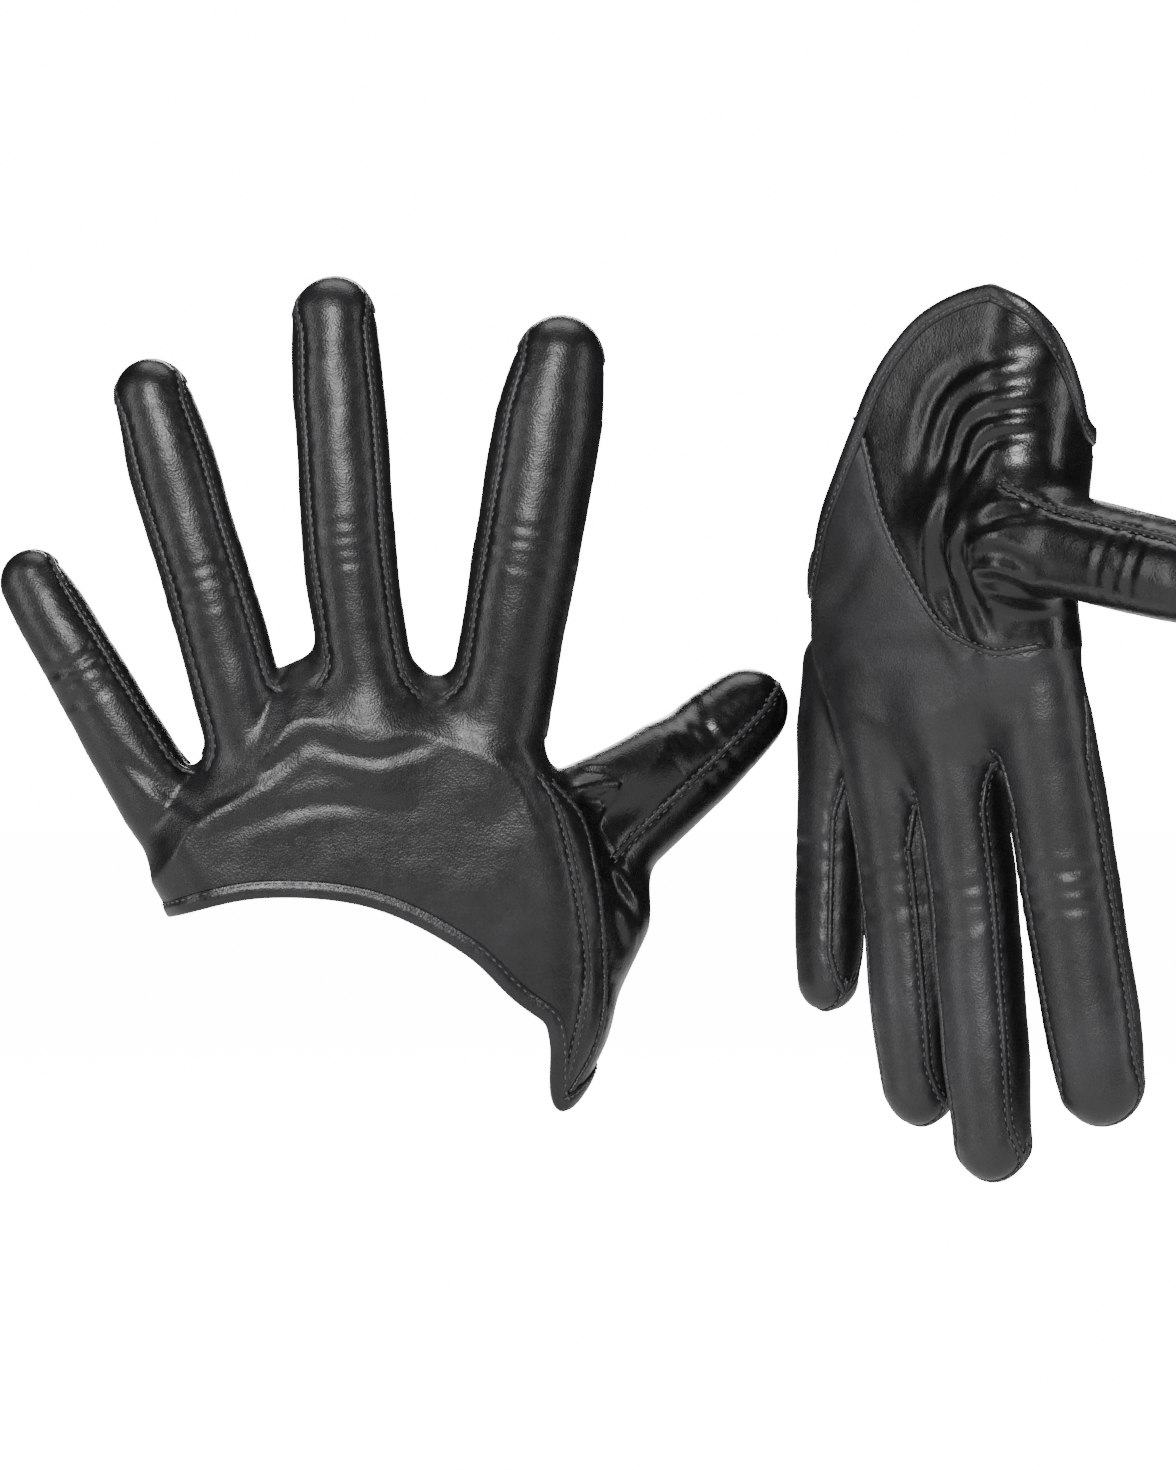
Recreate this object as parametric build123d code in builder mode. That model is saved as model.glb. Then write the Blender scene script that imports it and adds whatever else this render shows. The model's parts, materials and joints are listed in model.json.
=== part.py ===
from build123d import *
import os
from math import asin, cos, degrees, radians, sin, sqrt, tan

# A pair of cut-back leather gloves with closed fingers: glove A stands fingers up, glove B
# hangs fingers down beside it, turned about the upright.  Millimetres, +Z up.
# Each glove is modelled in its own hand frame: +X to the thumb side, +Z to the
# fingertips, -Y the back of the hand and +Y the palm.

LEATHER = 1.1            # wall of every glove panel
SEAM_GAP = 0.25          # air between two panels on the same seam, each side of it
ROOT_GAP = 0.9           # air between a finger's foot and the hand panel that it is sewn to
JOINT_GAP = 0.35         # air between two segments of one finger, over the whole bend
HEM_WIDTH = 3.0          # turned-in edge of the hand opening
HEM_THICKNESS = 1.9      # leather folded double
BACK_ARC = 100.0         # part of a finger's girth taken by its back strip, and by its palm strip
SIDE_ARC = 80.0          # part of the girth taken by each side strip
CUFF_LAP = 32.0          # how far a joint's rounded sleeve reaches back under the next segment
KNUCKLE_BEND = 55.0      # furthest bend at the finger's root
MIDDLE_BEND = 75.0       # furthest bend at the finger's middle joint
THUMB_ROOT_BEND = 35.0
THUMB_TIP_BEND = 60.0

# The hand frame's origin lies level with the foot of the seam between the index and middle
# fingers, on the thumb side of it.
OPENING = (-42.0, 3.0, -46.0)    # middle of glove A's hand opening, the origin of the pair
GLOVE_B_AT = (75.0, 0.0, 5.0)    # glove B's frame, measured in glove A's
GLOVE_B_TURN = 40.0              # glove B hangs fingers down, turned about the upright

# Fingers: foot of the finger (x, y, z), lean to the thumb side of the root and of the tip
# segment, curl towards the palm of each, roll about its own line, length, root and tip radius.
FINGERS_A = {
    "index": ((-19.0, 0.0, 0.0), (9.5, 10.0), (0.0, 4.0), 0.0, 87.0, (10.2, 9.2)),
    "middle": ((-43.5, -1.0, 0.0), (-8.0, -4.0), (1.0, 5.0), 0.0, 94.5, (9.3, 8.6)),
    "ring": ((-67.5, 0.0, -7.0), (-15.5, -17.0), (1.0, 5.0), 0.0, 87.5, (9.0, 8.2)),
    "little": ((-86.5, 2.0, -15.5), (-30.5, -31.5), (2.5, 7.0), 0.0, 61.5, (8.4, 6.8)),
}
FINGERS_B = {
    "index": ((21.0, -0.5, -2.0), (7.0, 9.5), (-5.6, -2.0), 0.0, 86.0, (10.0, 9.0)),
    "middle": ((-0.2, 0.0, 2.0), (6.6, 7.2), (-1.9, 2.7), 0.0, 94.0, (8.8, 8.2)),
    "ring": ((-19.2, 0.0, 0.0), (6.8, 7.2), (-3.6, 1.0), 0.0, 86.0, (8.4, 7.7)),
    "little": ((-35.6, -7.4, 1.0), (1.6, 4.6), (5.3, 8.4), 0.0, 62.0, (7.7, 6.7)),
}
KNUCKLE_AT = {"index": 13.0, "middle": 13.0, "ring": 13.0, "little": 11.0}
MIDDLE_AT = {"index": 38.0, "middle": 39.0, "ring": 38.0, "little": 31.0}

# Thumb: foot, direction, side that its back faces, length, root and tip radius.
THUMB_A = ((-1.8, 15.0, -27.0), (0.71, 0.20, 0.65), (0.35, -0.93, 0.0), 57.0, (11.0, 8.0))
THUMB_B = ((20.0, 10.0, -36.0), (0.965, 0.11, 0.22), (0.1, -0.75, 0.65), 57.0, (10.5, 8.8))
THUMB_ROOT_AT = 13.0
THUMB_TIP_AT = 35.0

# Hand: height, middle x, half width, middle y, half thickness of each cross-section.
HAND_A = (
    (6.0, -51.0, 46.0, 0.0, 10.6),
    (-20.0, -47.0, 47.5, 1.0, 12.5),
    (-48.0, -41.0, 44.0, 3.0, 14.5),
    (-80.0, -38.0, 40.0, 5.0, 16.0),
)
HAND_B = (
    (6.0, -5.0, 36.0, -1.0, 10.6),
    (-22.0, -5.0, 35.5, 0.0, 12.5),
    (-60.0, -2.0, 34.0, 1.0, 15.0),
    (-100.0, 0.0, 32.0, 1.0, 15.0),
)

# Edges of the hand's panels in the hand frame, as (x, z).
BACK_EDGE_A = ((-92.0, -36.5), (-66.0, -32.6), (-44.0, -34.5), (-25.0, -43.8), (-11.0, -56.5), (-5.2, -74.0))
BACK_EDGE_B = ((-40.0, -35.0), (-28.0, -33.5), (-12.0, -33.0), (4.0, -37.0), (18.0, -50.0), (26.5, -70.0))
SIDE_SEAM_A = ((-5.2, -74.0), (-0.8, -50.0), (-3.0, -28.0), (-8.0, -4.0))
SIDE_SEAM_B = ((26.5, -70.0), (29.0, -50.0), (29.0, -28.0), (28.5, -4.0))
HEEL_SEAM_B = ((-13.5, -64.0), (-11.0, -53.0), (-7.0, -37.0), (1.3, -21.5), (8.0, -15.0), (17.5, -11.5))
HEEL_EDGE_B = ((-13.5, -62.0), (-5.5, -74.0), (4.0, -82.0), (18.0, -86.5), (27.0, -81.0), (31.5, -66.0))
PALM_EDGE_B = ((-33.0, -18.5), (-30.5, -27.0), (-26.0, -38.0), (-20.0, -50.0), (-13.5, -62.0))
PALM_END_A = -11.0               # glove A's palm rolls back from here
ROLL_RADIUS = 19.5               # roll of glove A's tongue, away from the hand
ROLL_ARC = 108.0
TONGUE_LENGTH = 26.0             # flat end of the tongue after the roll
TONGUE_X = (-71.0, -16.0)
TONGUE_ROUND = 22.0
HEEL_END_A = -66.0               # thumb side of glove A's heel panel ends here
HEEL_INNER_A = -14.0
FAR = 60.0                       # longer than any panel is deep
ULNAR_A = -120.0                 # past glove A's little finger side, and past glove B's
ULNAR_B = -60.0
TAIL_CLEAR = 9.0                 # the back panel's tail stops this far above its hem's end
TAIL_POINTS = 4                  # points of the hem's inner line left off at its pointed tail
TONGUE_SIDE_STEP = 4.0           # the palm is this much wider than the tongue below the roll
HEEL_TAPER = 7.0                 # glove A's heel panel narrows by this towards its lower end
CROTCH_X = 26.0                  # where the seam below the thumb's crotch turns to the side
CROTCH_DROPS = (8.0, 9.0)        # its depth below the heel seam's end, there and at the side
PALM_EDGE_SKIP = 6               # points of the palm's edge above the end of the back's hem
STEP_LIMIT = 0.5                 # a wall step smaller than this is left out
LEAD_SHARE = 0.95                # a sleeve's lead-in stops short of a quarter turn
LEAD_ANGLE = 60.0
GAP_RADIUS = 8.0                 # radius at which the air between a finger's strips is set
THUMB_HOLE_START = 12.0          # the room for the thumb's foot starts this far inside the hand
THUMB_HOLE_DEPTH = 40.0


def unit(x, y, z):
    return Vector(x, y, z).normalized()


def leaning(lean, curl):
    """Direction of a finger segment that leans to the thumb side and curls to the palm."""
    return unit(sin(radians(lean)), tan(radians(curl)), cos(radians(lean)))


def facing(direction, roll):
    """Where the back of a finger faces, square to its direction."""
    back = Vector(-sin(radians(roll)), -cos(radians(roll)), 0)
    return (back - direction * back.dot(direction)).normalized()


def finger_lines(fingers, name):
    """Foot, knuckle and middle hinge of a finger with the direction of each segment."""
    foot, leans, curls, roll, length, radii = fingers[name]
    root_way = leaning(leans[0], curls[0])
    tip_way = leaning(leans[1], curls[1])
    start = Vector(*foot)
    knuckle = start + root_way * KNUCKLE_AT[name]
    middle = start + root_way * MIDDLE_AT[name]
    return start, knuckle, middle, root_way, tip_way, facing(root_way, roll)


def thumb_lines(thumb):
    """Foot, root hinge and tip hinge of the thumb, its direction and where its back faces."""
    foot, way, back, length, radii = thumb
    way = unit(*way)
    back = Vector(*back)
    back = (back - way * back.dot(way)).normalized()
    start = Vector(*foot)
    return start, start + way * THUMB_ROOT_AT, start + way * THUMB_TIP_AT, way, back


def fold_reach(radius, arc_from_side, bend):
    """How far a strip stops from its hinge so that the bent segments pass each other."""
    clear_of_sleeve = sqrt((radius + JOINT_GAP) ** 2 - (radius - LEATHER) ** 2)
    clear_of_fold = radius * sin(radians(arc_from_side)) * tan(radians(bend / 2)) + JOINT_GAP
    return max(clear_of_sleeve, clear_of_fold)


def strip_angles(side):
    """Middle angle round the finger, arc and how far it reaches to the palm from the side."""
    middle = {"back": 0.0, "outer": 90.0, "palm": 180.0, "inner": 270.0}[side]
    arc = BACK_ARC if side in ("back", "palm") else SIDE_ARC
    reach = {"back": -90.0 + BACK_ARC / 2, "palm": 90.0}.get(side, SIDE_ARC / 2)
    return middle, arc, reach


def strip(at, way, back, side, profile):
    """One leather strip of a round segment: its wall profile turned part of the way round."""
    middle, arc, _ = strip_angles(side)
    arc -= degrees(SEAM_GAP / GAP_RADIUS)
    line = Axis(at, way)
    radial = back.rotate(Axis((0, 0, 0), way), middle - arc / 2)
    with BuildPart() as piece:
        with BuildSketch(Plane(origin=at, x_dir=way, z_dir=way.cross(radial))):
            with BuildLine():
                profile()
            make_face()
        revolve(axis=line, revolution_arc=arc)
    return piece.part


def plain_profile(start, end, start_radius, end_radius):
    """Wall of a plain tapered segment with open ends."""
    def draw():
        Polyline(
            (start, start_radius),
            (end, end_radius),
            (end, end_radius - LEATHER),
            (start, start_radius - LEATHER),
            close=True,
        )
    return draw


def sleeve_outline(radius, step, lap):
    """Points of the rounded sleeve that turns inside the segment behind a hinge."""
    lap_angle = radians(lap)
    lead = min(asin(min(step / radius, LEAD_SHARE)), radians(LEAD_ANGLE))
    halfway = (lead - lap_angle) / 2
    return [(radius * sin(a), radius * cos(a)) for a in (-lap_angle, halfway, lead)]


def jointed_profile(radius, step, end, end_radius, domed):
    """Wall that starts with a rounded sleeve at its hinge and ends open or in a dome."""
    inner = radius - LEATHER

    def draw():
        outer_arc = sleeve_outline(radius, step, CUFF_LAP)
        inner_arc = [(x * inner / radius, r * inner / radius) for x, r in outer_arc]
        ThreePointArc(*outer_arc)
        if step > STEP_LIMIT:
            outer_top = (outer_arc[-1][0], radius)
            inner_top = (outer_arc[-1][0] + LEATHER, inner)
            inner_foot = (inner_top[0], inner_arc[-1][1])
            Line(outer_arc[-1], outer_top)
            Polyline(inner_top, inner_foot, inner_arc[-1])
        else:
            outer_top = outer_arc[-1]
            inner_top = inner_arc[-1]
        if domed:
            neck = end - end_radius
            Line(outer_top, (neck, end_radius))
            diagonal = sqrt(0.5)
            ThreePointArc(
                (neck, end_radius),
                (neck + end_radius * diagonal, end_radius * diagonal),
                (end, 0),
            )
            Line((end, 0), (end - LEATHER, 0))
            hollow = end_radius - LEATHER
            ThreePointArc(
                (end - LEATHER, 0),
                (neck + hollow * diagonal, hollow * diagonal),
                (neck, hollow),
            )
            Line((neck, hollow), inner_top)
        else:
            Polyline(outer_top, (end, end_radius), (end, end_radius - LEATHER), inner_top)
        ThreePointArc(*inner_arc)
        Line(inner_arc[0], outer_arc[0])
    return draw


def joined(pieces):
    """Separate solids gathered in one part."""
    with BuildPart() as group:
        add(pieces)
    return group.part


def root_strips(start, way, back, length, radius, bend, sides):
    """Short fixed tube at a finger's foot, on the hand."""
    pieces = []
    for side in sides:
        stop = length - fold_reach(radius, strip_angles(side)[2], bend)
        pieces.append(strip(start, way, back, side, plain_profile(ROOT_GAP, stop, radius, radius)))
    return joined(pieces)


def middle_strips(hinge, way, back, length, radii, bends, sides):
    """Segment between two hinges."""
    pieces = []
    for side in sides:
        reach = strip_angles(side)[2]
        step = 0.0 if side == "back" else fold_reach(radii[0], reach, bends[0])
        stop = length - fold_reach(radii[1], reach, bends[1])
        profile = jointed_profile(radii[0], step, stop, radii[1], False)
        pieces.append(strip(hinge, way, back, side, profile))
    return joined(pieces)


def tip_strips(hinge, way, back, length, radii, bend, sides):
    """Last segment, closed by the dome at the tip."""
    pieces = []
    for side in sides:
        step = 0.0 if side == "back" else fold_reach(radii[0], strip_angles(side)[2], bend)
        profile = jointed_profile(radii[0], step, length, radii[1], True)
        pieces.append(strip(hinge, way, back, side, profile))
    return joined(pieces)


def hand_tube(sections, wall):
    """Open flattened tube of the hand, from the fingers' feet to past the opening."""
    with BuildPart() as tube:
        for z, x, half_width, y, half_depth in sections:
            with BuildSketch(Plane.XY.offset(z)):
                with Locations((x, y)):
                    SlotOverall(2 * half_width, 2 * half_depth)
        loft()
        for z, x, half_width, y, half_depth in sections:
            with BuildSketch(Plane.XY.offset(z)):
                with Locations((x, y)):
                    SlotOverall(2 * (half_width - wall), 2 * (half_depth - wall))
        loft(mode=Mode.SUBTRACT)
    return tube.part


def curve_points(points, count=24):
    """Points along a smooth line through the given ones, with the line's directions."""
    with BuildLine(mode=Mode.PRIVATE) as path:
        Spline(*points)
    edge = path.line.edges()[0]
    return [(edge @ (i / count), edge % (i / count)) for i in range(count + 1)]


def beside(points, distance):
    """The same line moved to its left."""
    return [(p.X - distance * t.Y, p.Y + distance * t.X) for p, t in curve_points(points)]


def smooth(points):
    return [(p.X, p.Y) for p, _ in curve_points(points)]


def finger_feet(fingers):
    """Line along the feet of the fingers, from the little finger to the index."""
    feet = []
    for name in ("little", "ring", "middle", "index"):
        start, _, _, way, _, _ = finger_lines(fingers, name)
        across = Vector(way.Z, 0, -way.X).normalized()
        radius = fingers[name][5][0]
        for sign in (-1, 1):
            point = start + across * (sign * radius)
            feet.append((point.X, point.Z))
    return feet


def cut_panel(tube, outline, front):
    """Part of the hand tube inside an outline, on the back (front=True) or palm side."""
    with BuildPart() as panel:
        with BuildSketch(Plane.XZ):
            with BuildLine():
                Polyline(*outline, close=True)
            make_face()
        extrude(amount=FAR if front else -FAR)
        add(tube, mode=Mode.INTERSECT)
    return panel.part


def thumb_hole(thumb):
    """Room for the thumb's foot through the hand's panels."""
    start, _, _, way, _ = thumb_lines(thumb)
    with BuildPart() as hole:
        with BuildSketch(Plane(origin=start - way * THUMB_HOLE_START, z_dir=way)):
            Circle(thumb[4][0] + SEAM_GAP)
        extrude(amount=THUMB_HOLE_DEPTH)
    return hole.part


def without(part, cutter):
    with BuildPart() as rest:
        add(part)
        add(cutter, mode=Mode.SUBTRACT)
    return rest.part


def back_parts(tube, hem_tube, fingers, back_edge, side_seam, ulnar_x):
    """Back of the hand above its hem, the hem itself and the side strip."""
    inner_edge = beside(back_edge, HEM_WIDTH)
    seam = smooth(side_seam)
    feet = finger_feet(fingers)
    back_outline = [(ulnar_x, feet[0][1])] + feet
    back_outline += [p for p in reversed(seam) if p[1] > inner_edge[-1][1] + TAIL_CLEAR]
    back_outline += list(reversed(inner_edge[:-TAIL_POINTS]))
    back_outline.append((ulnar_x, inner_edge[0][1]))
    hem_inner = beside(back_edge, HEM_WIDTH - SEAM_GAP)[:-TAIL_POINTS]
    hem_outline = smooth(back_edge)[:-1] + list(reversed(hem_inner))
    gap_seam = [(x + SEAM_GAP, z) for x, z in seam]
    side_outline = gap_seam + [(FAR, gap_seam[-1][1]), (FAR, seam[0][1])]
    back = cut_panel(tube, back_outline, True)
    hem = cut_panel(hem_tube, hem_outline, True)
    side = cut_panel(tube, side_outline, True)
    return back, hem, side


def palm_parts_a(tube, fingers, ulnar_x, thumb):
    """Glove A's palm: its foot, the thumb side of the heel panel and the rolled-back tongue."""
    feet = finger_feet(fingers)
    fold_z = BACK_EDGE_A[0][1]
    palm_outline = [(ulnar_x, feet[0][1])] + feet
    palm_outline += [(FAR, feet[-1][1]), (FAR, PALM_END_A), (TONGUE_X[0], PALM_END_A)]
    palm_outline += [(TONGUE_X[0] - TONGUE_SIDE_STEP, fold_z), (ulnar_x, fold_z)]
    palm = cut_panel(tube, palm_outline, False)
    top = PALM_END_A - SEAM_GAP
    heel_foot = (HEEL_INNER_A + HEEL_TAPER, HEEL_END_A)
    heel_outline = ((HEEL_INNER_A, top), (FAR, top), (FAR, HEEL_END_A), heel_foot)
    heel_side = cut_panel(tube, heel_outline, False)
    depth = palm_depth(HAND_A, PALM_END_A)
    rolled = rolled_tongue(depth, TONGUE_LENGTH, 0.0, LEATHER)
    tongue = rounded_end(rolled, tongue_end(depth, TONGUE_LENGTH))
    rim = rolled_tongue(depth, HEM_WIDTH, TONGUE_LENGTH + SEAM_GAP, HEM_THICKNESS)
    hem = rounded_end(rim, tongue_end(depth, TONGUE_LENGTH + HEM_WIDTH))
    hole = thumb_hole(thumb)
    return without(palm, hole), joined([without(heel_side, hole), tongue]), hem


def palm_depth(sections, z):
    """How far the palm's outer face lies behind the hand's mid-plane at a height."""
    for (top, _, _, y1, d1), (low, _, _, y2, d2) in zip(sections, sections[1:]):
        if low <= z <= top:
            share = (top - z) / (top - low)
            return y1 + d1 + share * (y2 + d2 - y1 - d1)
    return sections[-1][3] + sections[-1][4]


def tongue_end(depth, along):
    """How far back the tongue reaches when it runs on flat this far after the roll."""
    end_angle = radians(180 + ROLL_ARC)
    return depth + ROLL_RADIUS * (1 + cos(end_angle)) - along * sin(end_angle)


def rolled_tongue(depth, length, skip, wall):
    """Sheet that rolls away from the palm and then runs on flat, skipping part of its length."""
    centre = (depth + ROLL_RADIUS, PALM_END_A - SEAM_GAP)
    end_angle = radians(180 + ROLL_ARC)
    way = Vector(-sin(end_angle), cos(end_angle), 0)

    def at(radius, along):
        x = centre[0] + radius * cos(end_angle) + way.X * along
        return (x, centre[1] + radius * sin(end_angle) + way.Y * along)

    inner = ROLL_RADIUS
    outer = ROLL_RADIUS + wall
    with BuildPart() as sheet:
        with BuildSketch(Plane.YZ.offset(TONGUE_X[0])):
            with BuildLine():
                if skip:
                    Polyline(
                        at(inner, skip),
                        at(inner, skip + length),
                        at(outer, skip + length),
                        at(outer, skip),
                        close=True,
                    )
                else:
                    CenterArc(centre, inner, 180, ROLL_ARC)
                    CenterArc(centre, outer, 180, ROLL_ARC)
                    Line((centre[0] - inner, centre[1]), (centre[0] - outer, centre[1]))
                    Polyline(at(inner, 0), at(inner, length), at(outer, length), at(outer, 0))
            make_face()
        extrude(amount=TONGUE_X[1] - TONGUE_X[0])
    return sheet.part


def rounded_end(sheet, end):
    """The tongue's corners rounded, seen from above."""
    width = TONGUE_X[1] - TONGUE_X[0]
    with BuildPart() as rounded:
        add(sheet)
        with BuildSketch(Plane.XY.offset(-FAR)):
            with Locations(((TONGUE_X[0] + TONGUE_X[1]) / 2, end - FAR)):
                RectangleRounded(width, 2 * FAR, TONGUE_ROUND)
        extrude(amount=2 * FAR, mode=Mode.INTERSECT)
    return rounded.part


def palm_parts_b(tube, hem_tube, fingers, ulnar_x, thumb):
    """Glove B's palm, its heel panel with the rounded tongue, and the tongue's hem."""
    feet = finger_feet(fingers)
    seam_end = HEEL_SEAM_B[-1][1]
    crotch = ((FAR, seam_end - CROTCH_DROPS[1]), (CROTCH_X, seam_end - CROTCH_DROPS[0]))
    seam = smooth(HEEL_SEAM_B)
    edge = smooth(PALM_EDGE_B)
    palm_outline = [(ulnar_x, feet[0][1])] + feet + [(FAR, feet[-1][1])] + list(crotch)
    palm_outline += list(reversed(seam)) + list(reversed(edge[PALM_EDGE_SKIP:-1]))
    palm_outline += [(ulnar_x, BACK_EDGE_B[0][1] + 1)]
    palm = cut_panel(tube, palm_outline, False)
    inside = beside(HEEL_EDGE_B, HEM_WIDTH)
    heel_outline = [(x + SEAM_GAP, z - SEAM_GAP) for x, z in seam[2:] + [crotch[1], crotch[0]]]
    heel_outline += [(FAR, inside[-1][1])] + list(reversed(inside[2:]))
    hem_inside = beside(HEEL_EDGE_B, HEM_WIDTH - SEAM_GAP)
    hem = cut_panel(hem_tube, smooth(HEEL_EDGE_B) + list(reversed(hem_inside)), False)
    heel = without(cut_panel(tube, heel_outline, False), hem)
    palm = without(palm, hem)
    hole = thumb_hole(thumb)
    return without(palm, hole), without(heel, hole), hem


def finger_parts(fingers, name):
    """The strips of one finger's two moving segments, trank leather and fourchettes apart."""
    _, knuckle, middle, root_way, tip_way, back = finger_lines(fingers, name)
    length = fingers[name][4]
    root_radius, tip_radius = fingers[name][5]
    share = (MIDDLE_AT[name] - KNUCKLE_AT[name]) / (length - KNUCKLE_AT[name])
    middle_radius = root_radius + (tip_radius - root_radius) * share
    tip_back = facing(tip_way, fingers[name][3])
    near = MIDDLE_AT[name] - KNUCKLE_AT[name]
    far = length - MIDDLE_AT[name]
    parts = {}
    for leather, sides in strips_of(name).items():
        parts[name + "_middle_" + leather] = middle_strips(
            knuckle, root_way, back, near, (root_radius, middle_radius), (KNUCKLE_BEND, MIDDLE_BEND), sides
        )
        parts[name + "_tip_" + leather] = tip_strips(
            middle, tip_way, tip_back, far, (middle_radius, tip_radius), MIDDLE_BEND, sides
        )
    return parts


def strips_of(name):
    """Which sides of a finger are trank leather and which are fourchettes."""
    if name == "index":
        return {"trank": ("back", "palm", "inner"), "fourchette": ("outer",)}
    if name == "little":
        return {"trank": ("back", "palm", "outer"), "fourchette": ("inner",)}
    return {"trank": ("back", "palm"), "fourchette": ("outer", "inner")}


def finger_roots(fingers):
    """Fixed feet of the four fingers on the hand."""
    parts = {"finger_roots": [], "fourchette_forks": []}
    for name in fingers:
        start, _, _, way, _, back = finger_lines(fingers, name)
        for leather, sides in strips_of(name).items():
            key = "finger_roots" if leather == "trank" else "fourchette_forks"
            parts[key].append(
                root_strips(start, way, back, KNUCKLE_AT[name], fingers[name][5][0], KNUCKLE_BEND, sides)
            )
    return {key: joined(pieces) for key, pieces in parts.items()}


def thumb_parts(thumb):
    """The thumb's foot with its quirk, its middle segment and its tip."""
    start, root, tip, way, back = thumb_lines(thumb)
    length = thumb[3]
    radii = thumb[4]
    joint_radius = (radii[0] + radii[1]) / 2
    sides = ("back", "palm", "outer", "inner")
    return {
        "thumb_foot": root_strips(start, way, back, THUMB_ROOT_AT, radii[0], THUMB_ROOT_BEND, sides[:3]),
        "thumb_quirk": root_strips(start, way, back, THUMB_ROOT_AT, radii[0], THUMB_ROOT_BEND, sides[3:]),
        "thumb_middle": middle_strips(
            root,
            way,
            back,
            THUMB_TIP_AT - THUMB_ROOT_AT,
            (radii[0], joint_radius),
            (THUMB_ROOT_BEND, THUMB_TIP_BEND),
            sides,
        ),
        "thumb_tip": tip_strips(
            tip, way, back, length - THUMB_TIP_AT, (joint_radius, radii[1]), THUMB_TIP_BEND, sides
        ),
    }


def glove_a_hand():
    tube = hand_tube(HAND_A, LEATHER)
    hem_tube = hand_tube(HAND_A, HEM_THICKNESS)
    back, back_hem, side = back_parts(tube, hem_tube, FINGERS_A, BACK_EDGE_A, SIDE_SEAM_A, ULNAR_A)
    palm, heel, heel_hem = palm_parts_a(tube, FINGERS_A, ULNAR_A, THUMB_A)
    return hand_nodes(back, palm, heel, side, back_hem, heel_hem)


def glove_b_hand():
    tube = hand_tube(HAND_B, LEATHER)
    hem_tube = hand_tube(HAND_B, HEM_THICKNESS)
    back, back_hem, side = back_parts(tube, hem_tube, FINGERS_B, BACK_EDGE_B, SIDE_SEAM_B, ULNAR_B)
    palm, heel, heel_hem = palm_parts_b(tube, hem_tube, FINGERS_B, ULNAR_B, THUMB_B)
    return hand_nodes(back, palm, heel, side, back_hem, heel_hem)


def hand_nodes(back, palm, heel, side, back_hem, heel_hem):
    return {
        "back": back,
        "palm": palm,
        "heel_panel": heel,
        "side_strip": side,
        "back_hem": back_hem,
        "heel_hem": heel_hem,
    }


def glove_plane_a():
    return Plane(origin=Vector(*OPENING) * -1, x_dir=(1, 0, 0), z_dir=(0, 0, 1))


def glove_plane_b():
    turn = radians(GLOVE_B_TURN)
    origin = Vector(*GLOVE_B_AT) - Vector(*OPENING)
    return Plane(origin=origin, x_dir=(cos(turn), -sin(turn), 0), z_dir=(0, 0, -1))


def write_glove(glove, plane, hand, fingers, thumb):
    """Place a glove's pieces and write one file for each."""
    pieces = dict(hand)
    pieces.update(finger_roots(fingers))
    for name in fingers:
        pieces.update(finger_parts(fingers, name))
    pieces.update(thumb_parts(thumb))
    for name, piece in pieces.items():
        placed = plane.location * piece
        placed.label = glove + "_" + name
        export_step(placed, "parts/" + placed.label + ".step")


os.makedirs("parts", exist_ok=True)
write_glove("glove_a", glove_plane_a(), glove_a_hand(), FINGERS_A, THUMB_A)
write_glove("glove_b", glove_plane_b(), glove_b_hand(), FINGERS_B, THUMB_B)
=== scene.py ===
import json
import math

import bmesh
import bpy
import numpy as np
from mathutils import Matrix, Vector
from mathutils.kdtree import KDTree


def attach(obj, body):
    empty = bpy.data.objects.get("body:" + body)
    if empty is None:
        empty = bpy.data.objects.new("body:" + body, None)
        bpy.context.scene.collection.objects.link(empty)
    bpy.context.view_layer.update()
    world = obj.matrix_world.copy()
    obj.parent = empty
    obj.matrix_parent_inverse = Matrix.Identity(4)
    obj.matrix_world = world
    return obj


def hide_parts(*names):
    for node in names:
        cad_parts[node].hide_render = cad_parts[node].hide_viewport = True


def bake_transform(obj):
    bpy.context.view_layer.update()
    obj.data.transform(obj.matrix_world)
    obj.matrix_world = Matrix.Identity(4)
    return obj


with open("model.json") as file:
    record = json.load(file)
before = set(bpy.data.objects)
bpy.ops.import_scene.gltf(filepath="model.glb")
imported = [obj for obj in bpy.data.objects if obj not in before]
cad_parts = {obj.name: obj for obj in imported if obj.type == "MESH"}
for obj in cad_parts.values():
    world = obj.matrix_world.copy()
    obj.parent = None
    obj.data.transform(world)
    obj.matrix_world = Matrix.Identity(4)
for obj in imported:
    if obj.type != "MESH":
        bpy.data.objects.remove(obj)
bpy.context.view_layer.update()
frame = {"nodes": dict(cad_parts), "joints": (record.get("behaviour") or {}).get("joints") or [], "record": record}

# ---------------------------------------------------------------------------
# The two gloves
# A pair of cut-back leather gloves.  Glove A is held fingers up with its back to
# the front, glove B hangs fingers down with its palm to the front.  Each is made
# in its own hand axes: X to the thumb, Y to the palm, Z to the fingertips.
# ---------------------------------------------------------------------------
MM = 0.001
GLOVE_TURN = {"glove_a": 0.0, "glove_b": 40.0}
HAND_FROM_MOUNT = {"glove_a": (42.0, -3.0, 46.0), "glove_b": (-4.0, 0.0, 55.0)}
FINGER_NAMES = ("little", "ring", "middle", "index")

mounts = {m["name"]: m for m in frame["record"]["mounts"]}
joints = {j["name"]: j for j in frame["joints"]}


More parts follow.
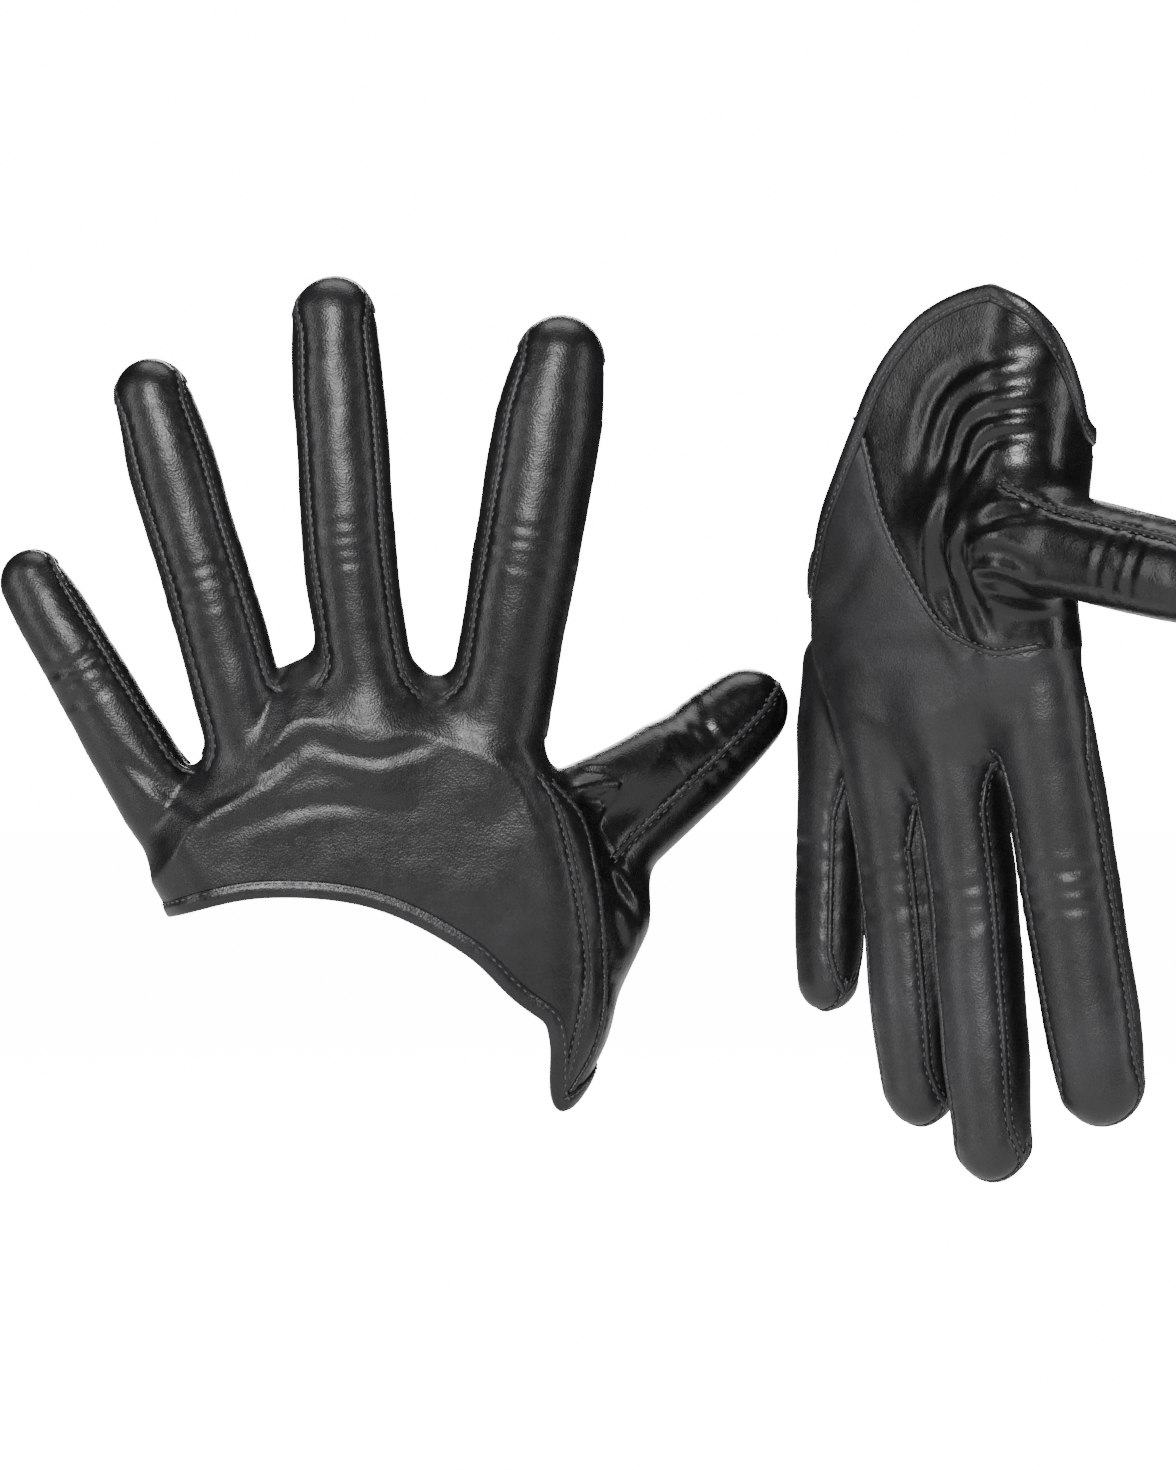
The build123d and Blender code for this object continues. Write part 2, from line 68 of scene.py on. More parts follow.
class HandAxes:
    """A glove's own axes, in millimetres, and the way back to the row frame in metres."""

    def __init__(self, glove):
        turn = math.radians(GLOVE_TURN[glove])
        up = 1.0 if glove == "glove_a" else -1.0
        x_axis = np.array((math.cos(turn), -math.sin(turn), 0.0))
        z_axis = np.array((0.0, 0.0, up))
        self.turned = np.array((x_axis, np.cross(z_axis, x_axis), z_axis))
        mount = np.array(mounts[glove + "_hand_opening"]["pos_m"])
        self.origin = mount + MM * (np.array(HAND_FROM_MOUNT[glove]) @ self.turned)

    def to_row(self, points):
        return self.origin + MM * (np.asarray(points, float) @ self.turned)

    def to_hand(self, points):
        return (np.asarray(points, float) - self.origin) @ self.turned.T / MM


def unit(vector):
    return np.asarray(vector, float) / np.linalg.norm(vector)


def between(a, b, c, d, t):
    """A point of a smooth curve from b to c, with a before them and d after."""
    return 0.5 * (2 * b + (c - a) * t + (2 * a - 5 * b + 4 * c - d) * t ** 2
                  + (3 * b - 3 * c + d - a) * t ** 3)


def far_point(node, start):
    """The point of a CAD node that is furthest from a joint: a fingertip."""
    verts = np.array([v.co for v in frame["nodes"][node].data.vertices])
    return verts[np.argmax(np.linalg.norm(verts - start, axis=1))]


# Radii of each stall at its foot, knuckle, middle joint, last joint and tip, across the
# finger; its depth is a little less.
STALL_RADII = {
    "glove_a": {
        "little": (8.6, 8.4, 7.9, 7.5, 6.6),
        "ring": (9.2, 9.1, 9.0, 9.1, 7.9),
        "middle": (9.8, 9.6, 9.5, 9.6, 8.6),
        "index": (10.6, 10.6, 10.9, 11.2, 9.2),
        "thumb": (12.0, 11.0, 10.4, 9.2, 7.8),
    },
    "glove_b": {
        "little": (8.4, 8.2, 7.8, 7.4, 6.6),
        "ring": (9.0, 8.9, 8.8, 8.7, 7.7),
        "middle": (9.4, 9.3, 9.2, 9.1, 8.0),
        "index": (10.0, 10.0, 10.1, 10.0, 8.8),
        "thumb": (11.5, 10.5, 10.2, 9.6, 8.6),
    },
}
STALL_ROLLS = {                  # turn of a finger about its own line
    "glove_a": {},
    "glove_b": {"index": -18.0, "middle": -9.0, "little": 14.0},
}
STALL_DEPTH = 0.93               # depth of a stall as a share of its width
LAST_JOINT = 0.55                # place of a finger's last joint between middle joint and tip
FOOT_BELOW = 22.0                # a finger's form runs on this far into the hand


class Stall:
    """The line, radii and facing of one finger or thumb."""

    def __init__(self, glove, name, axes):
        thumb = name == "thumb"
        first = joints[f"{glove}_thumb_root" if thumb else f"{glove}_{name}_knuckle"]
        second = joints[f"{glove}_thumb_tip_joint" if thumb else f"{glove}_{name}_middle_joint"]
        tip_node = f"{glove}_thumb_tip" if thumb else f"{glove}_{name}_tip_trank"
        self.name = name
        self.knuckle = axes.to_hand(first["pos_m"])
        self.middle = axes.to_hand(second["pos_m"])
        self.tip = axes.to_hand(far_point(tip_node, np.array(second["pos_m"])))
        self.way = unit(self.middle - self.knuckle)
        hinge = axes.turned @ np.array(first["axis"])
        roll = math.radians(STALL_ROLLS[glove].get(name, 0.0))
        back = unit(np.cross(self.way, hinge))
        self.back = unit(back * math.cos(roll) + np.cross(self.way, back) * math.sin(roll))
        self.bodies = (f"{glove}_hand", first["child"], second["child"])
        self.radii = STALL_RADII[glove][name]
        self.line, self.widths = self.centre_line()
        self.ways = np.gradient(self.line, axis=0)
        self.ways /= np.linalg.norm(self.ways, axis=1)[:, None]
        self.lengths = np.concatenate(((0.0,), np.cumsum(np.linalg.norm(np.diff(self.line, axis=0), axis=1))))
        self.lengths -= np.interp(0.0, (self.line - self.knuckle) @ self.way, self.lengths)
        backs = self.back - self.ways * (self.ways @ self.back)[:, None]
        self.backs = backs / np.linalg.norm(backs, axis=1)[:, None]
        self.sides = np.cross(self.ways, self.backs)
        self.end = self.lengths[-1] + self.widths[-1]

    def centre_line(self):
        """Smooth line through the foot, the joints and the middle of the tip's dome."""
        foot = self.knuckle - self.way * FOOT_BELOW
        last = self.middle + (self.tip - self.middle) * LAST_JOINT
        dome = self.tip - unit(self.tip - self.middle) * self.radii[-1]
        stations = np.array((foot, self.knuckle - self.way * 9, self.knuckle, self.middle, last, dome))
        radii = np.array((self.radii[0] * 0.9,) + self.radii)
        before = 2 * stations[0] - stations[1]
        after = 2 * stations[-1] - stations[-2]
        ends = np.vstack((before, stations, after))
        line, widths = [], []
        for i in range(len(stations) - 1):
            for t in np.linspace(0, 1, 5, endpoint=False):
                line.append(between(*ends[i:i + 4], t))
                widths.append(radii[i] * (1 - t) + radii[i + 1] * t)
        line.append(stations[-1])
        widths.append(radii[-1])
        return np.array(line), np.array(widths)

    def measure(self, points):
        """Field, place along the line and angle round it, of points; the back is at 0, the
        thumb side at +90 and the palm at 180 degrees."""
        best = np.full(len(points), 1e9)
        along = np.zeros(len(points))
        angle = np.zeros(len(points))
        for i in range(len(self.line) - 1):
            start, end = self.line[i], self.line[i + 1]
            span = end - start
            t = np.clip((points - start) @ span / (span @ span), 0, 1)
            q = points - start - t[:, None] * span
            way = unit(span)
            back = unit(self.backs[i] + self.backs[i + 1])
            side = np.cross(way, back)
            x, y, z = q @ side, q @ back, q @ way
            z = z * 0.94
            across = np.hypot(x, y / STALL_DEPTH)
            value = np.hypot(across, z) - (self.widths[i] * (1 - t) + self.widths[i + 1] * t)
            near = value < best
            best[near] = value[near]
            along[near] = (self.lengths[i] + t * (self.lengths[i + 1] - self.lengths[i]) + z)[near]
            angle[near] = np.degrees(np.arctan2(x, y))[near]
        return best, along, angle

    def at(self, along):
        """Point, way, side and back of the line at a place along it, run on straight past its end."""
        inside = np.clip(along, self.lengths[0], self.lengths[-1])
        pick = lambda rows: np.array([np.interp(inside, self.lengths, rows[:, k]) for k in range(3)]).T
        ways = pick(self.ways)
        return pick(self.line) + ways * (along - inside)[..., None], ways, pick(self.sides), pick(self.backs)


# ---------------------------------------------------------------------------
# The leather form
# The sewn leather takes the shape of the hand inside it.  One smooth form is
# worked out for each glove: five stalls and the flattened hand, run together with
# soft webs between the fingers.  The leather pieces are cut from its surface.
# ---------------------------------------------------------------------------
GRID_STEP = 0.68
STALL_MELT = 2.2                 # softness of the line where two stalls meet
HAND_MELT = 5.0                  # softness where a stall runs into the hand
THUMB_MELT = 7.0
WEB_THINNING = 13.0              # the hand thins to a wedge over this height at the webs

# Cross-sections of the hand: height, middle, half width, depth of the middle, half depth.
HAND_SECTIONS = {
    "glove_a": (
        (-100.0, -40.0, 33.0, 3.5, 12.0),
        (-75.0, -38.5, 37.0, 3.5, 12.5),
        (-60.0, -36.0, 40.5, 3.0, 13.0),
        (-46.0, -39.0, 43.3, 2.5, 13.5),
        (-36.0, -41.0, 45.5, 2.0, 13.2),
        (-28.0, -43.5, 46.5, 1.5, 12.8),
        (-15.0, -48.5, 46.5, 0.8, 11.6),
        (0.0, -49.5, 42.5, 0.0, 10.2),
        (20.0, -49.5, 40.0, 0.0, 9.0),
    ),
    "glove_b": (
        (-105.0, 4.0, 28.0, 1.0, 12.0),
        (-90.0, 3.0, 30.0, 1.0, 14.0),
        (-75.0, 1.5, 32.5, 1.0, 15.5),
        (-60.0, -1.0, 33.0, 1.0, 15.5),
        (-45.0, -3.0, 33.5, 0.8, 15.0),
        (-30.0, -5.0, 34.0, 0.5, 13.5),
        (-15.0, -6.0, 33.5, 0.0, 11.8),
        (0.0, -7.0, 32.0, -0.5, 10.0),
        (20.0, -7.0, 31.0, -0.5, 9.0),
    ),
}
# Height of the webs between the fingers, from the little finger's outer side to the index's.
WEB_LINE = {
    "glove_a": ((-100.0, -24.0), (-88.0, -16.0), (-78.9, -5.0), (-68.0, 3.0), (-59.7, 15.5),
                (-44.0, 14.0), (-31.8, 12.5), (-16.0, 6.0), (-4.0, -2.0)),
    "glove_b": ((-46.0, -14.0), (-36.0, -2.0), (-26.5, 12.0), (-18.0, 12.5), (-9.5, 16.0), (0.0, 14.0),
                (10.3, 11.0), (22.0, 5.0), (33.0, -4.0)),
}
# Soft rolls of leather added to the hand: the fold below the thumb's crotch and the ball of
# the thumb.  Start, end, start and end radius.
ROLLS = {
    "glove_a": (
        ((-5.0, 5.0, -12.5), (14.0, 15.0, -4.5), 5.5, 5.5),
        ((-9.0, 8.0, -66.0), (2.0, 12.0, -37.0), 8.5, 11.0),
    ),
    "glove_b": (((20.0, 6.0, -62.0), (24.0, 8.0, -34.0), 11.0, 11.5),),
}
ROLL_MELT = 5.0
ULNAR_ARCH = {"glove_a": (-75.0, 0.0), "glove_b": (-18.0, 0.42)}   # the little finger's side sinks back
ARCH_MELT = 7.0                  # how softly it starts to
SECTION_STEPS = 240


def soft_min(a, b, melt):
    h = np.clip(0.5 + 0.5 * (b - a) / melt, 0, 1)
    return b + (a - b) * h - melt * h * (1 - h)


class HandForm:
    """The flattened hand without its fingers, as a field and as a way to name its surface."""

    def __init__(self, glove):
        self.table = np.array(HAND_SECTIONS[glove])
        self.outline = smooth_points(self.table, SECTION_STEPS)
        self.web = smooth_points(WEB_LINE[glove], SECTION_STEPS)
        self.arch = ULNAR_ARCH[glove]
        self.rolls = ROLLS[glove]

    def section(self, x, z):
        """Middle, half length of the flat, middle's depth and half depth at a height."""
        rows = [np.interp(z, self.outline[:, 0], self.outline[:, k]) for k in range(1, 5)]
        centre, half, depth, thick = rows
        low, slope = self.arch
        beyond = low - x
        depth = depth - slope * (beyond + np.hypot(beyond, ARCH_MELT)) / 2
        web = np.interp(x, self.web[:, 0], self.web[:, 1])
        wedge = np.sqrt(np.clip((web - z) / WEB_THINNING, 0.04, 1))
        return centre, half - thick, depth, thick * wedge, web

    def field(self, points):
        x, y, z = points.T
        centre, flat, depth, thick, web = self.section(x, z)
        across = np.hypot(np.maximum(np.abs(x - centre) - flat, 0), y - depth)
        body = -soft_min(-(across - thick), -(z - web), 3.0)
        for start, end, first, last in self.rolls:
            start, span = np.array(start), np.array(end) - np.array(start)
            t = np.clip((points - start) @ span / (span @ span), 0, 1)
            roll = np.linalg.norm(points - start - t[:, None] * span, axis=1) - first - (last - first) * t
            body = soft_min(body, roll, ROLL_MELT)
        return body

    def name(self, points):
        """Wrap and height of points: the back counts from its x, the palm from 200 - x, and
        the thumb side's edge lies between."""
        x, y, z = points.T
        centre, flat, depth, _, _ = self.section(x, z)
        edge = centre + flat
        turn = np.degrees(np.arctan2(np.maximum(x - edge, 0), -(y - depth))) % 360
        round_edge = edge + (200 - 2 * edge) * turn / 180
        flat_side = np.where(y < depth, x, 200 - x)
        return np.where(x > edge, round_edge, flat_side), z

    def ray(self, wrap, height):
        """Start inside the hand and direction out of it for a named place."""
        wrap, height = np.asarray(wrap, float), np.asarray(height, float)
        centre, flat, depth, _, _ = self.section(wrap * 0, height)
        edge = centre + flat
        turn = np.radians(np.clip((wrap - edge) / (200 - 2 * edge), 0, 1) * 180)
        x = np.where(wrap <= edge, wrap, np.where(wrap >= 200 - edge, 200 - wrap, edge))
        _, _, depth, _, _ = self.section(x, height)
        start = np.stack((x, depth, height), axis=-1)
        return start, np.stack((np.sin(turn), -np.cos(turn), 0 * turn), axis=-1)


def sway(points, size, seed):
    """Gentle hills and hollows a few times the given size apart, between -1 and 1."""
    phase = np.array((1.7, 4.1, 2.9)) * (seed + 1)
    p = points / size
    q = p + 0.6 * np.sin(p[:, (1, 2, 0)] * 0.83 + phase)
    waves = np.sin(q @ (0.9, 0.5, -0.7) + phase[0]) + np.sin(q @ (-0.6, 0.8, 0.75) + phase[1])
    return (waves + np.sin(q @ (0.35, -0.95, 0.8) + phase[2])) / 3


def smooth_points(points, count):
    """Points along a smooth curve through the given ones."""
    points = np.asarray(points, float)
    ends = np.vstack((2 * points[0] - points[1], points, 2 * points[-1] - points[-2]))
    place = np.linspace(0, len(points) - 1, count)
    i = np.minimum(place.astype(int), len(points) - 2)
    t = (place - i)[:, None]
    return between(ends[i], ends[i + 1], ends[i + 2], ends[i + 3], t)


# Creases: face (back -1, palm 1), depth, width and the line of each, seen square to the hand.
CREASES = {
    "glove_a": (
        (-1, 0.55, 1.6, ((-79.0, -15.5), (-67.0, -8.5), (-56.0, -0.5))),
        (-1, 0.40, 1.4, ((-97.0, -3.0), (-88.0, -10.0), (-79.0, -16.0))),
        (-1, 0.40, 1.5, ((-56.0, -1.5), (-43.0, -4.5), (-31.0, -1.0))),
        (-1, 0.25, 1.6, ((-74.0, -20.0), (-55.0, -14.0), (-36.0, -15.0))),
        (-1, 0.85, 1.5, ((-5.0, -10.0), (2.0, -7.2), (11.0, -8.8))),
        (-1, 0.75, 1.4, ((-5.0, -13.5), (3.0, -13.0), (10.5, -12.0))),
        (-1, 0.90, 1.6, ((3.0, -19.0), (9.0, -22.0), (16.0, -26.5))),
        (-1, 0.80, 1.5, ((2.5, -21.0), (8.0, -27.0), (13.5, -33.5))),
        (-1, 0.75, 1.5, ((3.0, -24.0), (6.5, -32.0), (10.5, -39.5))),
        (-1, 0.60, 1.4, ((3.5, -30.0), (5.5, -38.0), (7.5, -46.5))),
        (-1, 0.50, 1.5, ((-18.0, -2.0), (-12.0, -9.0), (-8.0, -18.0))),
    ),
    "glove_b": (
        (1, 0.60, 1.5, ((16.0, -46.0), (21.0, -53.0), (30.0, -55.0))),
        (1, 0.65, 1.5, ((11.0, -46.0), (17.0, -57.0), (31.0, -60.0))),
        (1, 0.60, 1.6, ((6.5, -47.0), (13.0, -61.0), (30.0, -66.0))),
        (1, 0.45, 1.8, ((2.0, -50.0), (9.0, -65.0), (28.0, -72.0))),
        (1, 1.50, 2.2, ((13.0, -43.0), (7.5, -27.0), (12.0, -13.0))),
        (1, 1.10, 1.8, ((18.0, -36.0), (13.5, -25.0), (17.5, -13.5))),
        (1, 0.80, 1.5, ((18.0, -30.0), (25.0, -31.0), (33.0, -28.0))),
        (1, 0.80, 1.4, ((18.0, -26.0), (25.0, -25.0), (32.0, -21.5))),
        (1, 0.70, 1.5, ((19.0, -35.0), (26.0, -38.0), (34.0, -38.5))),
        (1, 0.35, 2.0, ((-30.0, -6.0), (-14.0, -12.0), (4.0, -12.5))),
        (1, 0.30, 2.2, ((-27.0, -20.0), (-18.0, -26.0), (-10.0, -36.0))),
    ),
}
JOINT_CREASES = (-3.6, -1.2, 1.4, 4.2)   # along a finger from its middle joint


def crease_lift(points, line, depth, width):
    """A groove with a soft lip on each side along a line in the hand's plane."""
    line = smooth_points(line, 24)
    flat = points[:, (0, 2)]
    best = np.full(len(points), 99.0)
    share = np.zeros(len(points))
    for i in range(len(line) - 1):
        span = line[i + 1] - line[i]
        t = np.clip((flat - line[i]) @ span / (span @ span), 0, 1)
        away = np.linalg.norm(flat - line[i] - t[:, None] * span, axis=1)
        near = away < best
        best[near] = away[near]
        share[near] = ((i + t) / (len(line) - 1))[near]
    fade = np.sin(np.pi * np.clip(share, 0.03, 0.97)) ** 0.6
    groove = np.exp(-(best / width) ** 2) - 0.45 * np.exp(-((best - 2.0 * width) / width) ** 2)
    return depth * fade * groove


def leather_folds(form, points):
    """How far the leather lies above (minus) or below (plus) the smooth form: soft hills all
    over, creases where the hand bends, and small ones across each finger's middle joint."""
    lift = 0.26 * sway(points, 6.5, 1) + 0.12 * sway(points, 2.4, 2)
    depth = form.hand.section(points[:, 0], points[:, 2])[2]
    creases = [(face, deep, wide, line) for face, deep, wide, line in CREASES[form.glove]]
    for stall in form.stalls:
        middle = np.linalg.norm(stall.middle - stall.knuckle)
        for k, step in enumerate(JOINT_CREASES):
            spot, way, side, _ = stall.at(np.array([middle + step]))
            tilt = 0.16 * math.sin(2.1 * k + stall.tip[0])
            ends = [(spot + (side + way * tilt * e) * e * stall.radii[2] * 0.85)[0] for e in (-1, 0, 1)]
            line = tuple((p[0], p[2]) for p in ends)
            creases += [(-1, 0.17, 0.9, line), (1, 0.34, 1.1, line)]
    for face, deep, wide, line in creases:
        line = np.array(line)
        margin = 3.5 * wide
        here = ((points[:, 1] - depth) * face > -4) & np.all(points[:, (0, 2)] > line.min(0) - margin, axis=1)
        here &= np.all(points[:, (0, 2)] < line.max(0) + margin, axis=1)
        lift[here] += crease_lift(points[here], line, deep, wide)
    return lift


class GloveForm:
    """The whole filled shape of one glove, as a field on a regular grid."""

    def __init__(self, glove):
        self.glove = glove
        self.axes = HandAxes(glove)
        self.hand = HandForm(glove)
        self.fingers = [Stall(glove, name, self.axes) for name in FINGER_NAMES]
        self.thumb = Stall(glove, "thumb", self.axes)
        self.stalls = self.fingers + [self.thumb]
        self.lay_grid()
        self.fill_grid()

    def lay_grid(self):
        corners = [(side, face) for side in (-1, 1) for face in (-1, 1)]
        flat = [(middle + side * half, depth + face * thick, height)
                for height, middle, half, depth, thick in self.hand.table[1:-1] for side, face in corners]
        ends = np.vstack([s.line for s in self.stalls] + [np.array(flat)])
        self.low = ends.min(0) - 15
        self.low[2] = self.hand.table[1, 0]
        counts = np.ceil((ends.max(0) + 15 - self.low) / GRID_STEP).astype(int) + 1
        self.lines = [self.low[k] + GRID_STEP * np.arange(counts[k]) for k in range(3)]

    def block(self, window):
        gx, gy, gz = np.meshgrid(*[a[w] for a, w in zip(self.lines, window)], indexing="ij")
        return np.stack((gx.ravel(), gy.ravel(), gz.ravel()), axis=1), gx.shape

    def fill_grid(self):
        """Each stall is only worked out close to it, then all run together softly."""
        everything, shape = self.block((slice(None),) * 3)
        hand = self.hand.field(everything)
        values = []
        for stall in self.stalls:
            value = np.full(shape, 30.0)
            margin = stall.widths.max() + 6
            lo = np.floor((stall.line.min(0) - margin - self.low) / GRID_STEP).astype(int)
            hi = np.ceil((stall.line.max(0) + margin - self.low) / GRID_STEP).astype(int)
            window = tuple(slice(max(a, 0), b) for a, b in zip(lo, hi))
            points, part = self.block(window)
            value[window] = stall.measure(points)[0].reshape(part)
            values.append(value.ravel())
        fingers = values[0]
        for value in values[1:4]:
            fingers = soft_min(fingers, value, STALL_MELT)
        whole = soft_min(soft_min(fingers, hand, HAND_MELT), values[4], THUMB_MELT)
        near = np.abs(whole) < 4.0
        whole[near] += leather_folds(self, everything[near])
        self.values = whole.reshape(shape)
        self.slopes = np.stack(np.gradient(self.values, GRID_STEP), axis=-1)

    def sample(self, table, points):
        """Values of a grid table at points between its corners."""
        place = (points - self.low) / GRID_STEP
        place = np.clip(place, 0, np.array(table.shape[:3]) - 1.001)
        base = place.astype(int)
        t = place - base
        total = 0
        for i in (0, 1):
            for j in (0, 1):
                for k in (0, 1):
                    share = ((t[:, 0] if i else 1 - t[:, 0]) * (t[:, 1] if j else 1 - t[:, 1])
                             * (t[:, 2] if k else 1 - t[:, 2]))
                    corner = table[base[:, 0] + i, base[:, 1] + j, base[:, 2] + k]
                    total = total + (share[:, None] * corner if corner.ndim > 1 else share * corner)
        return total

    def outward(self, points):
        slope = self.sample(self.slopes, points)
        return slope / np.linalg.norm(slope, axis=1)[:, None]

    def onto(self, start, way, reach=26.0):
        """Where rays from inside the form come out of it."""
        near = np.zeros(len(start))
        far = np.full(len(start), reach) if np.isscalar(reach) else np.array(reach, float)
        for _ in range(16):
            middle = (near + far) / 2
            inside = self.sample(self.values, start + way * middle[:, None]) < 0
            near = np.where(inside, middle, near)
            far = np.where(inside, far, middle)
        return start + way * near[:, None]


def surface_net(field, low, step):
    """Quads along the zero surface of a field on a grid, facing out."""
    inside = field < 0
    count = np.zeros(tuple(n - 1 for n in field.shape), np.int8)
    corners = [(i, j, k) for i in (0, 1) for j in (0, 1) for k in (0, 1)]
    view = lambda a, c: a[c[0]:a.shape[0] - 1 + c[0], c[1]:a.shape[1] - 1 + c[1], c[2]:a.shape[2] - 1 + c[2]]
    for corner in corners:
        count += view(inside, corner)
    active = np.argwhere((count > 0) & (count < 8))
    index = np.full(count.shape, -1, np.int64)
    index[tuple(active.T)] = np.arange(len(active))
    values = {c: field[tuple((active + c).T)] for c in corners}
    total = np.zeros((len(active), 3))
    hits = np.zeros(len(active))
    for a in corners:
        for axis in range(3):
            if a[axis]:
                continue
            b = tuple(v + (i == axis) for i, v in enumerate(a))
            va, vb = values[a], values[b]
            cross = (va < 0) != (vb < 0)
            t = np.where(cross, va / np.where(cross, va - vb, 1), 0)
            place = np.array(a, float)[None, :] + t[:, None] * np.eye(3)[axis]
            total[cross] += place[cross]
            hits[cross] += 1
    verts = low + step * (active + total / hits[:, None])
    quads = []
    for axis in range(3):
        u, v = [k for k in range(3) if k != axis]
        if axis == 1:
            u, v = v, u
        first = [slice(None)] * 3
        second = [slice(None)] * 3
        first[axis] = slice(None, -1)
        second[axis] = slice(1, None)
        a, b = inside[tuple(first)], inside[tuple(second)]
        edges = np.argwhere(a != b)
        edges = edges[(edges[:, u] > 0) & (edges[:, v] > 0)]
        edges = edges[(edges[:, u] < field.shape[u] - 1) & (edges[:, v] < field.shape[v] - 1)]
        du = np.eye(3, dtype=int)[u]
        dv = np.eye(3, dtype=int)[v]
        ring = [edges - du - dv, edges - dv, edges, edges - du]
        quad = np.stack([index[tuple(r.T)] for r in ring], axis=1)
        flip = ~a[tuple(edges.T)]
        quad[flip] = quad[flip][:, ::-1]
        quads.append(quad)
    return verts, np.vstack(quads)


# ---------------------------------------------------------------------------
# The cut of the leather
# Each glove is cut as a trank that wraps back and palm, fourchettes between the
# fingers, a narrow side strip and a heel panel that runs into the thumb.  The
# seams are lines over the form, and each panel is what lies between them.
# ---------------------------------------------------------------------------
FORK_POINTS = {                  # foot of the seams between the fingers, on the back and palm
    "glove_a": (((-78.5, -15.0), (-56.6, 0.0), (-30.8, 0.0)), ((-79.0, -4.0), (-59.5, 11.0), (-32.0, 9.5))),
    "glove_b": (((-26.5, -5.0), (-9.5, 0.0), (10.3, 0.0)), ((-24.3, 9.0), (-8.6, 15.0), (10.3, 6.5))),
}
BACK_SEAM_ANGLE = 52.0           # fourchette seams run this far round from the back
PALM_SEAM_ANGLE = 128.0
INDEX_SEAM_ANGLE = 112.0         # the trank closes along the index finger's thumb side
OPENING_EDGE = {                 # wrap and height of the cut edge at the hand opening
    "glove_a": ((-85.6, -36.8), (-66.0, -32.6), (-44.0, -34.5), (-25.0, -43.8), (-12.0, -55.5),
                (8.0, -66.0), (30.0, -74.5), (52.0, -76.0), (110.0, -71.0), (180.0, -66.0), (200.0, -60.0),
                (210.0, -51.0), (215.0, -38.0), (217.0, -24.0), (219.0, -11.0), (268.0, -11.0),
                (277.0, -19.0), (285.6, -36.8)),
    "glove_b": ((-38.0, -36.8), (-30.0, -36.0), (-15.0, -33.0), (0.0, -35.0), (12.0, -43.0),
                (27.0, -52.0), (40.0, -56.0), (62.0, -56.5), (95.0, -57.5), (107.0, -62.5), (118.0, -69.0),
                (130.0, -74.4), (140.0, -77.8), (152.0, -80.9), (167.0, -83.2), (179.0, -84.4),
                (188.0, -83.2), (197.0, -79.5), (204.3, -73.0),
                (209.5, -66.0), (214.5, -57.0), (220.0, -48.0), (226.0, -38.5), (230.5, -30.0),
                (234.0, -26.5), (238.0, -36.8)),
}
SIDE_SEAMS = {                   # both edges of the side strip, seen square to the back
    "glove_a": (((-5.2, -73.0), (-1.5, -58.0), (0.0, -46.0), (-2.7, -28.0), (-5.8, -15.0), (-9.5, -8.5)),
                ((-3.6, -73.5), (1.0, -65.5), (3.4, -57.0), (3.6, -46.0), (2.2, -30.0), (-1.0, -17.0),
                 (-7.0, -9.6))),
    "glove_b": (((24.5, -50.5), (24.5, -45.0), (24.0, -28.0), (24.0, -6.0)),
                ((28.0, -51.5), (29.0, -45.0), (28.0, -28.0), (26.5, -13.0))),
}
HEEL_SEAM = {                    # seam between palm and heel panel
    "glove_a": ((-90.0, -11.0), (-16.0, -11.5), (-4.0, -11.0), (4.0, -6.0)),
    "glove_b": ((-13.5, -60.0), (-11.0, -52.0), (-7.0, -37.0), (1.3, -21.5), (8.0, -15.0), (17.5, -11.5),
                (26.0, -12.6)),
}
FORK_RUN = (4.0, 13.0)           # a fourchette is half, then fully, as wide this far past its fork
TIP_RUN = (11.0, 6.0)            # and it narrows at these distances before the tip
TIP_SEAM_START = 2.5             # the finger's side seams meet this far before its tip
INDEX_SEAM_RUN = 12.0            # the index finger's outer seam starts this far below its knuckle
LITTLE_SEAM_RUN = 16.0           # the little finger's outer seam only closes its tip
TIP_REACH = 14.0                 # longer than a tip's dome is deep
THUMB_REACH = 17.0               # longer than the thumb is thick
THUMB_SEAMS = (4.0, 172.0)       # degrees round the thumb, from its back
THUMB_SEAM_START = -9.0          # from the thumb's root joint


def seam_round(form, stall, along, turn, reach):
    """A line on the form that turns round a stall as it goes along it, with its normals."""
    start, _, side, back = stall.at(along)
    rays = np.cos(turn)[:, None] * back + np.sin(turn)[:, None] * side
    points = form.onto(start, rays, reach)
    return points, form.outward(points)


def seam_over_tip(form, stall, across, half_turn, count):
    """The seam over a stall's tip, from one side of it to the other, with its normals."""
    turn = np.radians(np.linspace(-half_turn, half_turn, count))
    rays = np.cos(turn)[:, None] * stall.ways[-1] + np.sin(turn)[:, None] * across
    points = form.onto(np.repeat(stall.line[-1:], count, axis=0), rays, TIP_REACH)
    return points, form.outward(points)


